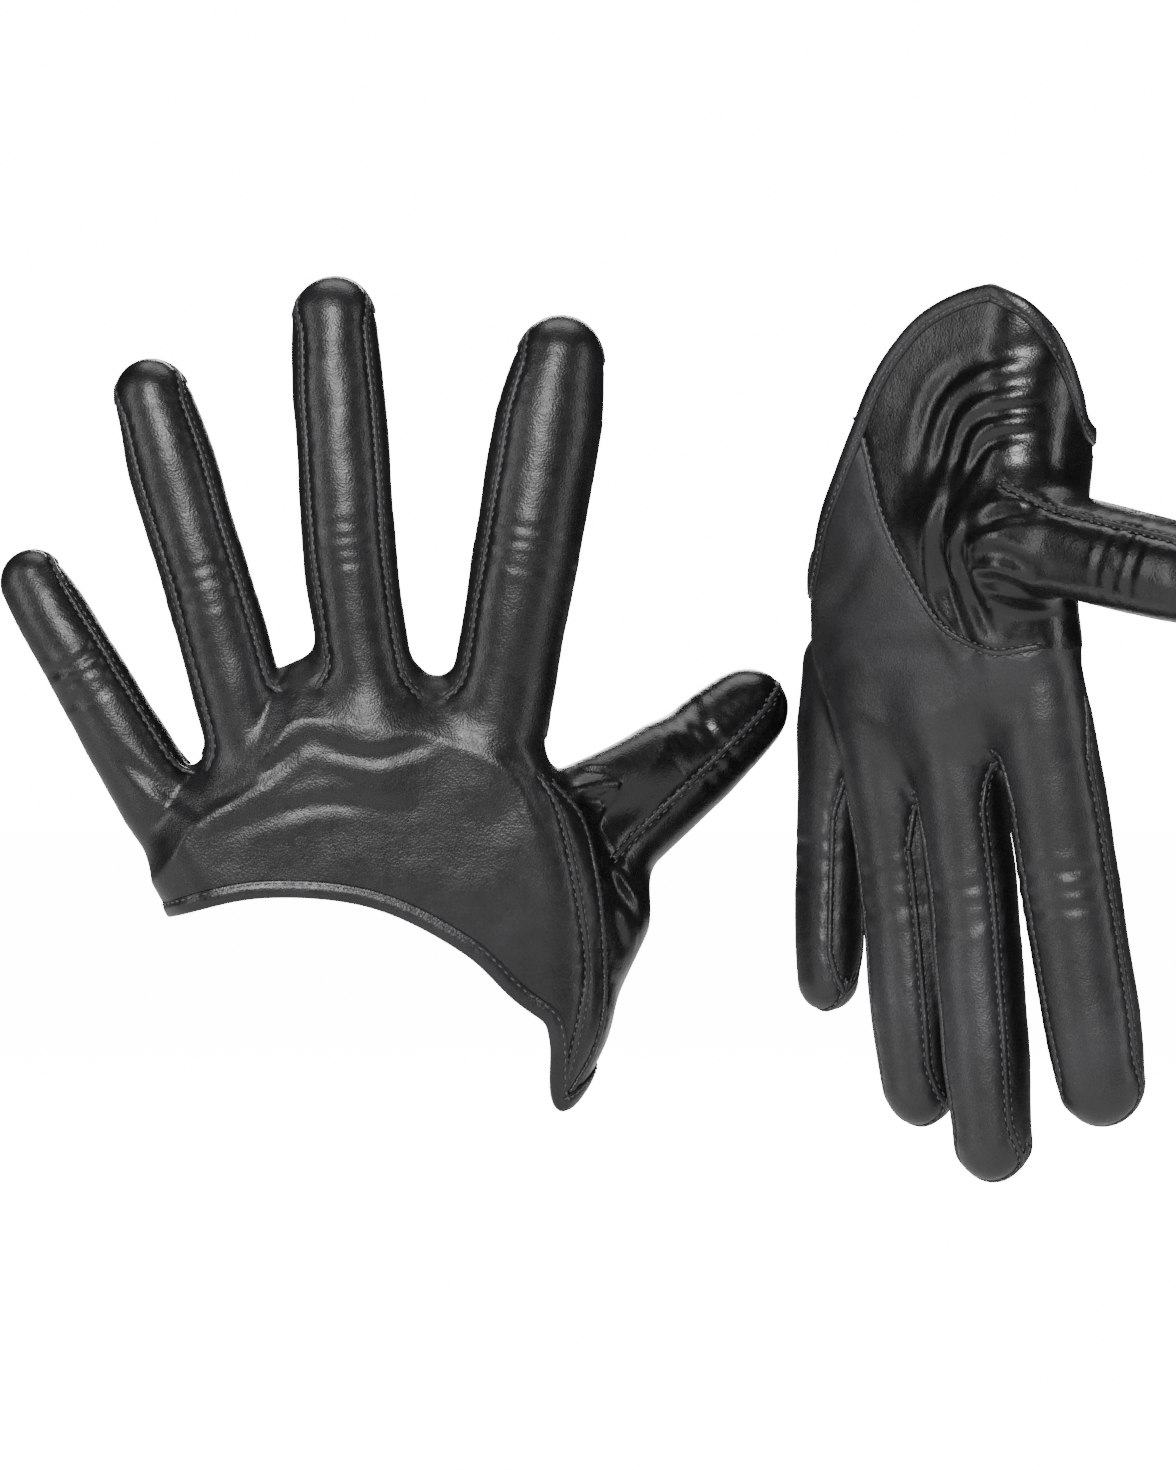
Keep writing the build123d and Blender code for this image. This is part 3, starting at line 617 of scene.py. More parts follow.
class FingerSeams:
    """Angles round a finger at which its seams run, as a place along it grows."""

    def __init__(self, form, number):
        stall = form.fingers[number]
        self.stall = stall
        backs, palms = FORK_POINTS[form.glove]
        end = stall.end
        self.edges = {}
        for side, fork in ((1, number), (-1, number - 1)):
            if not 0 <= fork < len(backs):
                continue
            for face, spots, settled in (("back", backs, BACK_SEAM_ANGLE), ("palm", palms, PALM_SEAM_ANGLE)):
                x, z = spots[fork]
                depth = form.hand.section(np.array([x]), np.array([z]))[2][0]
                foot = stall.measure(np.array([[x, depth, z]]))[1][0]
                meet = 90 + (settled - 90) * 0.25
                self.edges[side, face] = (
                    (foot, foot + FORK_RUN[0], foot + FORK_RUN[1], end - TIP_RUN[0], end - TIP_RUN[1],
                     end - TIP_SEAM_START),
                    (90, 90 + (settled - 90) * 0.5, settled, settled, meet + (settled - 90) * 0.4, 90),
                )
        if stall.name == "index":
            self.edges[1, "palm"] = ((-INDEX_SEAM_RUN, 0.0, end - INDEX_SEAM_RUN, end - TIP_SEAM_START),
                                     (96, INDEX_SEAM_ANGLE, INDEX_SEAM_ANGLE, 91))
        if stall.name == "little":
            self.edges[-1, "palm"] = ((end - LITTLE_SEAM_RUN, end - TIP_SEAM_START), (103, 91))

    def angle(self, side, face, along):
        places, angles = self.edges[side, face]
        return np.interp(along, places, angles)

    def between(self, along, angle):
        """Whether points lie on a fourchette."""
        found = np.zeros(len(along), bool)
        for side in (1, -1):
            if (side, "back") not in self.edges or (side, "palm") not in self.edges:
                continue
            low = self.angle(side, "back", along)
            high = self.angle(side, "palm", along)
            first = self.edges[side, "back"][0][0]
            last = self.stall.end - TIP_SEAM_START
            here = angle * side
            found |= (here > low) & (here < high) & (along > first) & (along < last)
        return found

    def curves(self, form):
        """The seam lines on this finger, as places along it and the points on the form."""
        lines = []
        for (side, face), (places, _) in self.edges.items():
            along = np.arange(places[0] + 0.2, places[-1], 0.5)
            turn = np.radians(self.angle(side, face, along) * side)
            reach = np.interp(along, self.stall.lengths, self.stall.widths) * 1.22
            lines.append((along, *seam_round(form, self.stall, along, turn, reach)))
        tip, normals = seam_over_tip(form, self.stall, self.stall.sides[-1], 80, 41)
        lines.append((np.full(len(tip), self.stall.end), tip, normals))
        return lines


def left_of(seam, x, z):
    """Whether places lie on the little finger's side of an upright seam."""
    seam = np.asarray(smooth_points(seam, 60))
    order = np.argsort(seam[:, 1])
    return x < np.interp(z, seam[order, 1], seam[order, 0])


def heel_side(glove, x, z):
    """Whether places on the palm side lie on the heel panel's side of its seam."""
    if glove == "glove_a":
        line = np.array(HEEL_SEAM[glove])
        return z < np.interp(x, line[:, 0], line[:, 1])
    seam = smooth_points(HEEL_SEAM[glove], 60)
    return (~left_of(HEEL_SEAM[glove], x, z) | (z < seam[0, 1])) & (z < np.interp(x, seam[:, 0], seam[:, 1]))


def opening_edge(glove, wrap):
    """Height of the cut edge at places named by their wrap."""
    edge = smooth_points(OPENING_EDGE[glove], 200)
    order = np.maximum.accumulate(edge[:, 0])
    return np.interp(wrap, order, edge[:, 1])


BEND_STARTS = {                  # a finger's leather starts to turn this far past its knuckle
    "glove_a": {"little": -1.0, "ring": 8.0, "middle": 5.0, "index": 1.0, "thumb": 7.0},
    "glove_b": {"little": 1.0, "ring": 4.0, "middle": 2.0, "index": 0.5, "thumb": 5.0},
}
BEND_LENGTH = 11.0
MIDDLE_BEND_REACH = (8.0, 9.0)   # before and after the middle joint
WALL = 0.9                       # thickness of the leather
GROOVE_DEPTH = 0.42              # the leather dips at each seam
GROOVE_WIDTH = 1.25
PUCKER = 0.10                    # small puckers beside the seams: height, reach and size
PUCKER_REACH = 3.2
PUCKER_SIZE = 0.55
STALL_SKIN = 3.2                 # leather this close to a stall's form belongs to it
PIECE_LEAD = 0.8                 # a finger's own piece starts this far before its bend
THUMB_FOOT = -7.0                # the thumb's foot reaches this far below its root joint
HEEL_TOP = -12.0                 # the heel leather ends at this height on the thumb side
FORK_BELOW = 20.0                # no fourchette reaches further than this below its knuckle


def bends(stall, glove):
    """Start and end of both bends of a finger, and the border between its two lengths."""
    middle = np.linalg.norm(stall.middle - stall.knuckle)
    start = BEND_STARTS[glove][stall.name]
    end = min(start + BEND_LENGTH, middle - MIDDLE_BEND_REACH[0] - 1)
    upper_start = middle - MIDDLE_BEND_REACH[0]
    return start, end, upper_start, middle + MIDDLE_BEND_REACH[1], upper_start - 0.5


class Cut:
    """One glove's leather surface with every face told apart by body and panel."""

    def __init__(self, glove):
        self.glove = glove
        self.form = form = GloveForm(glove)
        self.seams = [FingerSeams(form, n) for n in range(4)]
        self.verts, self.quads = surface_net(form.values, form.low, GRID_STEP)
        self.normals = form.outward(self.verts)
        self.verts -= self.normals * form.sample(form.values, self.verts)[:, None]
        self.lines = self.seam_lines()
        self.sink_seams()
        self.name_faces()

    def across_hand(self, seam, face, count=90):
        """A seam seen square to the back (-1) or palm (1), laid on the form."""
        flat = smooth_points(seam, count)
        depth = self.form.hand.section(flat[:, 0], flat[:, 1])[2]
        start = np.stack((flat[:, 0], depth, flat[:, 1]), axis=1)
        points = self.form.onto(start, np.tile((0.0, float(face), 0.0), (count, 1)))
        return points, self.form.outward(points)

    def seam_lines(self):
        """Every seam as (stall or None, places along it, points, normals)."""
        form = self.form
        lines = []
        for seams in self.seams:
            for along, points, normals in seams.curves(form):
                lines.append((seams.stall, along, points, normals))
        for seam in SIDE_SEAMS[self.glove]:
            lines.append((None, None, *self.across_hand(seam, -1)))
        if self.glove == "glove_b":
            lines.append((None, None, *self.across_hand(HEEL_SEAM[self.glove], 1)))
        thumb = form.thumb
        for degrees_round in THUMB_SEAMS:
            along = np.arange(THUMB_SEAM_START, thumb.end - 4, 0.5)
            turn = np.radians(np.full(len(along), degrees_round))
            lines.append((thumb, along, *seam_round(form, thumb, along, turn, THUMB_REACH)))
        points, normals = seam_over_tip(form, thumb, thumb.backs[-1], 72, 37)
        lines.append((thumb, np.full(len(points), thumb.end), points, normals))
        return lines

    def sink_seams(self):
        """Let the leather dip along the seams and pucker a little beside them."""
        spots = np.vstack([line[2] for line in self.lines])
        tree = KDTree(len(spots))
        for i, spot in enumerate(spots):
            tree.insert(spot, i)
        tree.balance()
        away = np.array([tree.find(vert)[2] for vert in self.verts])
        dip = GROOVE_DEPTH * np.exp(-(away / GROOVE_WIDTH) ** 2)
        pucker = PUCKER * np.exp(-(away / PUCKER_REACH) ** 2) * sway(self.verts, PUCKER_SIZE, 5)
        self.verts -= self.normals * (dip + pucker)[:, None]

    def name_faces(self):
        """Body and panel of every face."""
        form, glove = self.form, self.glove
        middles = self.verts[self.quads].mean(axis=1)
        outward = self.normals[self.quads].mean(axis=1)
        measured = [stall.measure(middles) for stall in form.stalls]
        nearest = np.argmin([m[0] for m in measured], axis=0)
        count = len(middles)
        body = np.zeros(count, int)
        panel = np.full(count, "trank", dtype=object)
        palm = outward[:, 1] > 0
        x, _, z = middles.T
        first, second = SIDE_SEAMS[glove]
        right_of_first = ~left_of(first, x, z) & (z < first[-1][1])
        right_of_second = ~left_of(second, x, z) & (z < second[-1][1])
        panel[right_of_first & ~palm] = "side"
        panel[right_of_second & ~palm] = "heel"
        panel[palm & heel_side(glove, x, z)] = "heel"
        centre, flat = form.hand.section(x, z)[:2]
        panel[palm & (x > centre + flat) & (z < HEEL_TOP)] = "heel"
        wrap, height = form.hand.name(middles)
        gone = height < opening_edge(glove, wrap)
        thumb_near = (nearest == 4) & (measured[4][0] < STALL_SKIN)
        panel[thumb_near & (measured[4][1] > THUMB_FOOT) & (panel != "side")] = "foot"
        for n, stall in enumerate(form.stalls):
            value, along, angle = measured[n]
            start, _, _, _, border = bends(stall, glove)
            straight = (middles - stall.knuckle) @ stall.way
            mine = (nearest == n) & (value < STALL_SKIN) & (straight > start - PIECE_LEAD)
            body[mine] = 1 + 2 * n
            body[mine & (straight > border)] = 2 + 2 * n
            if n < 4:
                whole = (nearest == n) & (along > -FORK_BELOW)
                panel[mine] = "trank"
                panel[whole & self.seams[n].between(along, angle)] = "fourchette"
            else:
                panel[mine] = "thumb"
            gone &= ~mine
        self.body, self.panel, self.gone = body, panel, gone


cuts = {glove: Cut(glove) for glove in GLOVE_TURN}


# ---------------------------------------------------------------------------
# The trank
# Black lambskin that wraps the back and the palm of each glove and the front and
# back of every finger.  It is a shell with a real thickness, cut where it crosses
# a joint into one piece for each length of the finger.  Its grain and wear are shared by all the leather.
# ---------------------------------------------------------------------------
FINGER_BODIES = FINGER_NAMES + ("thumb",)


def add_node(tree, kind, place=(0, 0), **settings):
    node = tree.nodes.new(kind)
    node.location = place
    for name, value in settings.items():
        setattr(node, name, value)
    return node


def leather_surface_group():
    """Grain, handling wear and colour variation of the leather, from Object coordinates."""
    group = bpy.data.node_groups.new("leather_surface", "ShaderNodeTree")
    inputs = (("Colour", "NodeSocketColor", (0.02, 0.02, 0.022, 1)),
              ("Worn Colour", "NodeSocketColor", (0.05, 0.05, 0.052, 1)),
              ("Grain Size", "NodeSocketFloat", 0.0006), ("Wrinkle Size", "NodeSocketFloat", 0.0035),
              ("Roughness", "NodeSocketFloat", 0.42), ("Wear", "NodeSocketFloat", 0.5))
    for name, kind, value in inputs:
        group.interface.new_socket(name, in_out="INPUT", socket_type=kind).default_value = value
    outputs = (("Colour", "NodeSocketColor"), ("Roughness", "NodeSocketFloat"), ("Height", "NodeSocketFloat"))
    for name, kind in outputs:
        group.interface.new_socket(name, in_out="OUTPUT", socket_type=kind)
    get = add_node(group, "NodeGroupInput", (-1200, 0))
    out = add_node(group, "NodeGroupOutput", (900, 0))
    place = add_node(group, "ShaderNodeTexCoord", (-1200, -300))
    link = group.links.new

    def scale_of(socket, row):
        node = add_node(group, "ShaderNodeMath", (-950, row), operation="DIVIDE")
        node.inputs[0].default_value = 1.0
        link(get.outputs[socket], node.inputs[1])
        return node.outputs[0]

    pebble = add_node(group, "ShaderNodeTexVoronoi", (-700, 200), feature="SMOOTH_F1")
    pebble.inputs["Smoothness"].default_value = 0.35
    link(place.outputs["Object"], pebble.inputs["Vector"])
    link(scale_of("Grain Size", 200), pebble.inputs["Scale"])
    fine = add_node(group, "ShaderNodeTexNoise", (-700, -50), noise_dimensions="3D")
    fine.inputs["Detail"].default_value = 4.0
    link(place.outputs["Object"], fine.inputs["Vector"])
    link(scale_of("Wrinkle Size", -50), fine.inputs["Scale"])
    broad = add_node(group, "ShaderNodeTexNoise", (-700, -300), noise_dimensions="3D")
    broad.inputs["Scale"].default_value = 55.0
    broad.inputs["Detail"].default_value = 3.0
    link(place.outputs["Object"], broad.inputs["Vector"])

    wear = add_node(group, "ShaderNodeMapRange", (-400, -300))
    wear.inputs["From Min"].default_value = 0.42
    wear.inputs["From Max"].default_value = 0.72
    link(broad.outputs["Fac"], wear.inputs["Value"])
    wear_amount = add_node(group, "ShaderNodeMath", (-200, -300), operation="MULTIPLY")
    link(wear.outputs[0], wear_amount.inputs[0])
    link(get.outputs["Wear"], wear_amount.inputs[1])
    mix = add_node(group, "ShaderNodeMix", (100, -100), data_type="RGBA")
    link(wear_amount.outputs[0], mix.inputs["Factor"])
    link(get.outputs["Colour"], mix.inputs["A"])
    link(get.outputs["Worn Colour"], mix.inputs["B"])
    link(mix.outputs["Result"], out.inputs["Colour"])

    rough = add_node(group, "ShaderNodeMath", (100, -400), operation="MULTIPLY_ADD")
    rough.inputs[1].default_value = 0.22
    link(fine.outputs["Fac"], rough.inputs[0])
    shifted = add_node(group, "ShaderNodeMath", (-100, -520), operation="SUBTRACT")
    shifted.inputs[1].default_value = 0.11
    link(get.outputs["Roughness"], shifted.inputs[0])
    link(shifted.outputs[0], rough.inputs[2])
    link(rough.outputs[0], out.inputs["Roughness"])

    height = add_node(group, "ShaderNodeMath", (100, 250), operation="MULTIPLY_ADD")
    height.inputs[1].default_value = 0.45
    link(pebble.outputs["Distance"], height.inputs[0])
    link(fine.outputs["Fac"], height.inputs[2])
    link(height.outputs[0], out.inputs["Height"])
    return group


leather_surface = leather_surface_group()


def leather_material(name, colour, worn, roughness, wear, bump):
    material = bpy.data.materials.new(name)
    material.use_nodes = True
    tree = material.node_tree
    shader = tree.nodes["Principled BSDF"]
    surface = add_node(tree, "ShaderNodeGroup", (-500, 0), node_tree=leather_surface)
    surface.inputs["Colour"].default_value = (*colour, 1)
    surface.inputs["Worn Colour"].default_value = (*worn, 1)
    surface.inputs["Roughness"].default_value = roughness
    surface.inputs["Wear"].default_value = wear
    surface.inputs["Grain Size"].default_value = 0.00045
    surface.inputs["Wrinkle Size"].default_value = 0.0022
    relief = add_node(tree, "ShaderNodeBump", (-250, -250))
    relief.inputs["Strength"].default_value = 1.0
    relief.inputs["Distance"].default_value = bump
    shader.inputs["Specular IOR Level"].default_value = 0.5
    shader.inputs["Coat Roughness"].default_value = 0.32
    tree.links.new(surface.outputs["Colour"], shader.inputs["Base Color"])
    tree.links.new(surface.outputs["Roughness"], shader.inputs["Roughness"])
    tree.links.new(surface.outputs["Height"], relief.inputs["Height"])
    tree.links.new(relief.outputs["Normal"], shader.inputs["Normal"])
    return material


def finish_mesh(name, verts, faces, normals, glove, material):
    """A finished object in the row frame, shaded with the form's own smooth normals."""
    axes = cuts[glove].form.axes
    mesh = bpy.data.meshes.new(name)
    mesh.from_pydata(axes.to_row(verts).tolist(), [], [list(f) for f in faces])
    mesh.materials.append(material)
    mesh.polygons.foreach_set("use_smooth", [True] * len(mesh.polygons))
    if normals is not None:
        mesh.normals_split_custom_set_from_vertices((np.asarray(normals) @ axes.turned).tolist())
    piece = bpy.data.objects.new(name, mesh)
    bpy.context.scene.collection.objects.link(piece)
    return piece


def shading_normals(cut):
    """Normals of the whole puckered surface, so that pieces meet without a visible line."""
    v, q = cut.verts, cut.quads
    face = np.cross(v[q[:, 2]] - v[q[:, 0]], v[q[:, 3]] - v[q[:, 1]])
    total = np.zeros_like(v)
    for k in range(4):
        np.add.at(total, q[:, k], face)
    return total / np.maximum(np.linalg.norm(total, axis=1)[:, None], 1e-9)


for cut in cuts.values():
    cut.shading = shading_normals(cut)


def leather_shell(name, glove, faces, material):
    """The chosen faces with an inner skin and closed edges."""
    cut = cuts[glove]
    quads = cut.quads[faces]
    used, quads = np.unique(quads, return_inverse=True)
    quads = quads.reshape(-1, 4)
    outer = cut.verts[used]
    normals = cut.shading[used]
    inner = outer - cut.normals[used] * WALL
    count = len(used)
    edges = np.vstack([quads[:, (k, (k + 1) % 4)] for k in range(4)])
    keys = np.sort(edges, axis=1) @ (count, 1)
    _, first, times = np.unique(keys, return_index=True, return_counts=True)
    rim = edges[first[times == 1]]
    sides = np.stack((rim[:, 1], rim[:, 0], rim[:, 0] + count, rim[:, 1] + count), axis=1)
    faces = np.vstack((quads, quads[:, ::-1] + count, sides))
    normals = np.vstack((normals, -normals))
    return finish_mesh(name, np.vstack((outer, inner)), faces, normals, glove, material)


def settle(piece, glove, number, body, replaced=()):
    """Ride a piece on the hand, or leave a finger's piece fixed where it lies, unbent; hide the parts it replaces.
    """
    stall = cuts[glove].form.stalls[number] if number is not None else None
    axes = cuts[glove].form.axes
    if body == "hand":
        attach(piece, glove + "_hand")
    else:
        start, end, upper_start, upper_end, _ = bends(stall, glove)
        first, last = (start, end) if body == "lower" else (upper_start, upper_end)
        spots = [axes.to_row(stall.knuckle + stall.way * s) for s in (first, last)]
        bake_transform(piece)
    if replaced:
        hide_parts(*replaced)


TRANK = {
    "glove_a": leather_material("black_lambskin", (0.0045, 0.0045, 0.0052), (0.012, 0.012, 0.0135),
                                0.38, 0.8, 0.00009),
    "glove_b": leather_material("black_lambskin_palm", (0.012, 0.012, 0.0132), (0.026, 0.026, 0.028),
                                0.43, 0.8, 0.00008),
}

for glove, cut in cuts.items():
    here = (cut.panel == "trank") & ~cut.gone
    piece = leather_shell(f"{glove}_trank", glove, here & (cut.body == 0), TRANK[glove])
    settle(piece, glove, None, "hand",
           (f"{glove}_back", f"{glove}_palm", f"{glove}_finger_roots"))
    for number, name in enumerate(FINGER_NAMES):
        for part, label, node in ((1, "lower", "middle"), (2, "upper", "tip")):
            faces = here & (cut.body == part + 2 * number)
            piece = leather_shell(f"{glove}_{name}_{label}_trank", glove, faces, TRANK[glove])
            settle(piece, glove, number, label, (f"{glove}_{name}_{node}_trank",))


# ---------------------------------------------------------------------------
# The fourchettes
# Long strips of the same lambskin set in between the fingers, forked at the webs.
# They are coloured darker than the trank, which is painted shade for the shade between the fingers, and they are
# duller.
# ---------------------------------------------------------------------------
# near-black colour, darker than the trank: painted shade between the fingers
FOURCHETTE_PAINTED_SHADE = leather_material("fourchette_lambskin_painted_shade", (0.0022, 0.0022, 0.0025), (0.005, 0.005, 0.0055),
                              0.50, 0.4, 0.00010)

for glove, cut in cuts.items():
    here = (cut.panel == "fourchette") & ~cut.gone
    piece = leather_shell(f"{glove}_forks", glove, here & (cut.body == 0), FOURCHETTE_PAINTED_SHADE)
    settle(piece, glove, None, "hand", (f"{glove}_fourchette_forks",))
    for number, name in enumerate(FINGER_NAMES):
        for part, label, node in ((1, "lower", "middle"), (2, "upper", "tip")):
            piece = leather_shell(f"{glove}_{name}_{label}_fourchette", glove,
                                  here & (cut.body == part + 2 * number), FOURCHETTE_PAINTED_SHADE)
            settle(piece, glove, number, label, (f"{glove}_{name}_{node}_fourchette",))


# ---------------------------------------------------------------------------
# The side strips
# A narrow strip of lambskin on the thumb side of each hand, between the trank and
# the heel panel, sewn along both edges.
# ---------------------------------------------------------------------------
SIDE = leather_material("side_lambskin", (0.0045, 0.0045, 0.005), (0.012, 0.012, 0.0135), 0.40, 0.5, 0.00008)

for glove, cut in cuts.items():
    piece = leather_shell(f"{glove}_side_strip_leather", glove, (cut.panel == "side") & ~cut.gone, SIDE)
    settle(piece, glove, None, "hand", (f"{glove}_side_strip",))


# ---------------------------------------------------------------------------
# The heel panels
# The soft panel over the heel of the hand, gathered into folds at the thumb.  On
# glove A its tongue curls away behind the back of the glove.
# ---------------------------------------------------------------------------
HEEL = leather_material("heel_lambskin", (0.003, 0.003, 0.0034), (0.008, 0.008, 0.009), 0.30, 0.6, 0.00006)
TONGUE_WIDTH = (-69.0, -18.0)    # its two sides, across glove A's hand
TONGUE_TOP = -10.5               # height at which the tongue leaves glove A's palm
TONGUE_RADIUS = 19.5             # of its roll, through this many degrees
TONGUE_TURN = 108.0
TONGUE_FLAT = 27.0               # flat leather past the roll
TONGUE_CORNER = 22.0             # radius of its far corners
TONGUE_STEP = 0.7
TONGUE_COLUMNS = 74


def tongue_rows():
    """Centre line of the tongue's side view and its outward normals, from the palm on."""
    x = sum(TONGUE_WIDTH) / 2
    form = cuts["glove_a"].form
    depth = form.hand.section(np.array([x]), np.array([TONGUE_TOP]))[2][0]
    start = form.onto(np.array([[x, depth, TONGUE_TOP]]), np.array([[0.0, 1.0, 0.0]]))[0]
    turns = np.radians(np.linspace(0, TONGUE_TURN, 46))
    y = start[1] + TONGUE_RADIUS * (1 - np.cos(turns))
    z = TONGUE_TOP - TONGUE_RADIUS * np.sin(turns)
    way = (math.sin(turns[-1]), -math.cos(turns[-1]))
    flat = np.arange(TONGUE_STEP, TONGUE_FLAT, TONGUE_STEP)
    y = np.concatenate((y, y[-1] + flat * way[0]))
    z = np.concatenate((z, z[-1] + flat * way[1]))
    turns = np.concatenate((turns, np.full(len(flat), turns[-1])))
    normals = np.stack((np.cos(turns), np.sin(turns)), axis=1)
    return np.stack((y, z), axis=1), normals


def tongue_sheet(name, material):
    """The rolled tongue with its far corners rounded."""
    rows, normals = tongue_rows()
    length = np.concatenate(((0,), np.cumsum(np.linalg.norm(np.diff(rows, axis=0), axis=1))))
    left = length[-1] - length
    columns = TONGUE_COLUMNS
    verts, turned = [], []
    centre = sum(TONGUE_WIDTH) / 2
    half = (TONGUE_WIDTH[1] - TONGUE_WIDTH[0]) / 2
    for (y, z), (ny, nz), rest in zip(rows, normals, left):
        inset = 0.0
        if rest < TONGUE_CORNER:
            inset = TONGUE_CORNER - math.sqrt(max(TONGUE_CORNER ** 2 - (TONGUE_CORNER - rest) ** 2, 0))
        for x in np.linspace(centre - half + inset, centre + half - inset, columns):
            verts.append((x, y, z))
            turned.append((0, ny, nz))
    verts, turned = np.array(verts), np.array(turned)
    lift = 0.5 * sway(verts, 7.0, 3) + 0.2 * sway(verts, 2.8, 4)
    verts = verts + turned * lift[:, None]
    grid = np.arange(len(verts)).reshape(len(rows), columns)
    quads = np.stack((grid[:-1, :-1], grid[1:, :-1], grid[1:, 1:], grid[:-1, 1:]), axis=-1).reshape(-1, 4)
    count = len(verts)
    ring = np.concatenate((grid[0, :], grid[1:, -1], grid[-1, -2::-1], grid[-2:0:-1, 0]))
    sides = np.stack((ring, np.roll(ring, -1), np.roll(ring, -1) + count, ring + count), axis=1)
    faces = np.vstack((quads, quads[:, ::-1] + count, sides))
    piece = finish_mesh(name, np.vstack((verts, verts - turned * WALL)), faces, None, "glove_a", material)
    edge = np.concatenate((grid[:, 0], grid[-1, 1:-1], grid[::-1, -1]))
    return piece, verts[edge], turned[edge]


for glove, cut in cuts.items():
    heel = leather_shell(f"{glove}_heel_leather", glove, (cut.panel == "heel") & ~cut.gone, HEEL)
    settle(heel, glove, None, "hand", (f"{glove}_heel_panel",))
tongue, tongue_edge, tongue_normals = tongue_sheet("glove_a_heel_tongue", HEEL)
settle(tongue, "glove_a", None, "hand")


# ---------------------------------------------------------------------------
# The thumbs
# The heel leather runs into each thumb, which is closed by a seam on its back and
# its palm side and over its tip.
# ---------------------------------------------------------------------------
THUMB = HEEL

for glove, cut in cuts.items():
    foot = leather_shell(f"{glove}_thumb_base", glove, (cut.panel == "foot") & ~cut.gone, THUMB)
    settle(foot, glove, None, "hand", (f"{glove}_thumb_foot", f"{glove}_thumb_quirk"))
    for part, label, node in ((1, "lower", "thumb_middle"), (2, "upper", "thumb_tip")):
        piece = leather_shell(f"{glove}_thumb_{label}", glove,
                              (cut.panel == "thumb") & (cut.body == 8 + part) & ~cut.gone, THUMB)
        settle(piece, glove, 4, label, (f"{glove}_{node}",))


# ---------------------------------------------------------------------------
# The hems
# The cut edge of the hand opening is turned in and stitched, which makes a firm
# rounded band 3 mm wide and two leathers thick.
# ---------------------------------------------------------------------------
HEM_PROFILE = ((-0.35, -0.9), (-0.5, 0.1), (-0.2, 0.55), (0.5, 0.72), (1.4, 0.72), (2.1, 0.62), (2.5, 0.36),
               (2.9, 0.45), (3.2, 0.1), (3.2, -0.9), (1.6, -1.35))
HEM = leather_material("hem_lambskin", (0.006, 0.006, 0.007), (0.018, 0.018, 0.020), 0.36, 0.8, 0.00008)


def even_line(points, step):
    """The same line with points an even step apart."""
    points = np.asarray(points, float)
    run = np.concatenate(((0,), np.cumsum(np.linalg.norm(np.diff(points, axis=0), axis=1))))
    place = np.linspace(0, run[-1], max(int(run[-1] / step), 2))
    return np.stack([np.interp(place, run, points[:, k]) for k in range(3)], axis=1)


def soften(points, times):
    """Smooth a line a little, with its ends kept."""
    points = points.copy()
    for _ in range(times):
        points[1:-1] = (points[:-2] + 2 * points[1:-1] + points[2:]) / 4
    return points


def opening_curve(glove, first, last):
    """Part of the opening's cut edge on the form, with its outward normals."""
    form = cuts[glove].form
    edge = smooth_points(OPENING_EDGE[glove], 400)
    edge = edge[(edge[:, 0] >= first) & (edge[:, 0] <= last)]
    start, way = form.hand.ray(edge[:, 0], edge[:, 1])
    points = even_line(soften(form.onto(start, way), 6), 0.7)
    return points, form.outward(points)


def band(name, points, normals, inward_sign, profile, glove, material):
    """A closed profile swept along a line: its first number is inwards, its second outwards."""
    ways = np.gradient(points, axis=0)
    ways /= np.linalg.norm(ways, axis=1)[:, None]
    normals = normals - ways * np.sum(normals * ways, axis=1)[:, None]
    normals /= np.linalg.norm(normals, axis=1)[:, None]
    inward = np.cross(normals, ways) * inward_sign
    profile = np.array(profile)
    rings = [points + inward * a + normals * b for a, b in profile]
    verts = np.stack(rings, axis=1).reshape(-1, 3)
    count, sides = len(points), len(profile)
    index = np.arange(count * sides).reshape(count, sides)
    nxt = np.roll(index, -1, axis=1)
    quads = np.stack((index[:-1], index[1:], nxt[1:], nxt[:-1]), axis=-1).reshape(-1, 4)
    if inward_sign > 0:
        quads = quads[:, ::-1]
    faces = [list(q) for q in quads] + [list(index[0]), list(index[-1][::-1])]
    piece = finish_mesh(name, verts, faces, None, glove, material)
    close = bmesh.new()
    close.from_mesh(piece.data)
    bmesh.ops.recalc_face_normals(close, faces=close.faces)
    close.to_mesh(piece.data)
    close.free()
    for polygon in piece.data.polygons:
        polygon.use_smooth = True
    return piece, inward


HEM_RUNS = {                     # wrap at the ends of each hem: over the back, then round the heel
    "glove_a": ((-85.6, 43.0, "back_hem"), (43.0, 219.0, "heel_hem"), (268.0, 285.6, "palm_hem")),
    "glove_b": ((-38.0, 62.0, "back_hem"), (62.0, 238.0, "heel_hem")),
}
hem_lines = []
for glove, runs in HEM_RUNS.items():
    for first, last, node in runs:
        points, normals = opening_curve(glove, first, last)
        piece, inward = band(f"{glove}_{node}_band", points, normals, 1, HEM_PROFILE, glove, HEM)
        settle(piece, glove, None, "hand", () if node == "palm_hem" else (f"{glove}_{node}",))
        hem_lines.append((glove, points + inward * 2.5 + normals * 0.4, normals))


# ---------------------------------------------------------------------------
# The seams
# Every panel is joined by a narrow raised seam: both edges stand up a little in a
# groove.  Each seam is cut where its finger's lengths meet, into one piece for each length.
# ---------------------------------------------------------------------------
RIDGE_PROFILE = ((-0.62, -0.75), (-0.62, -0.12), (-0.42, 0.16), (0.0, 0.27), (0.42, 0.16), (0.62, -0.12),
                 (0.62, -0.75))
RIDGE = leather_material("seam_lambskin", (0.010, 0.010, 0.011), (0.030, 0.030, 0.032), 0.42, 0.9, 0.00012)


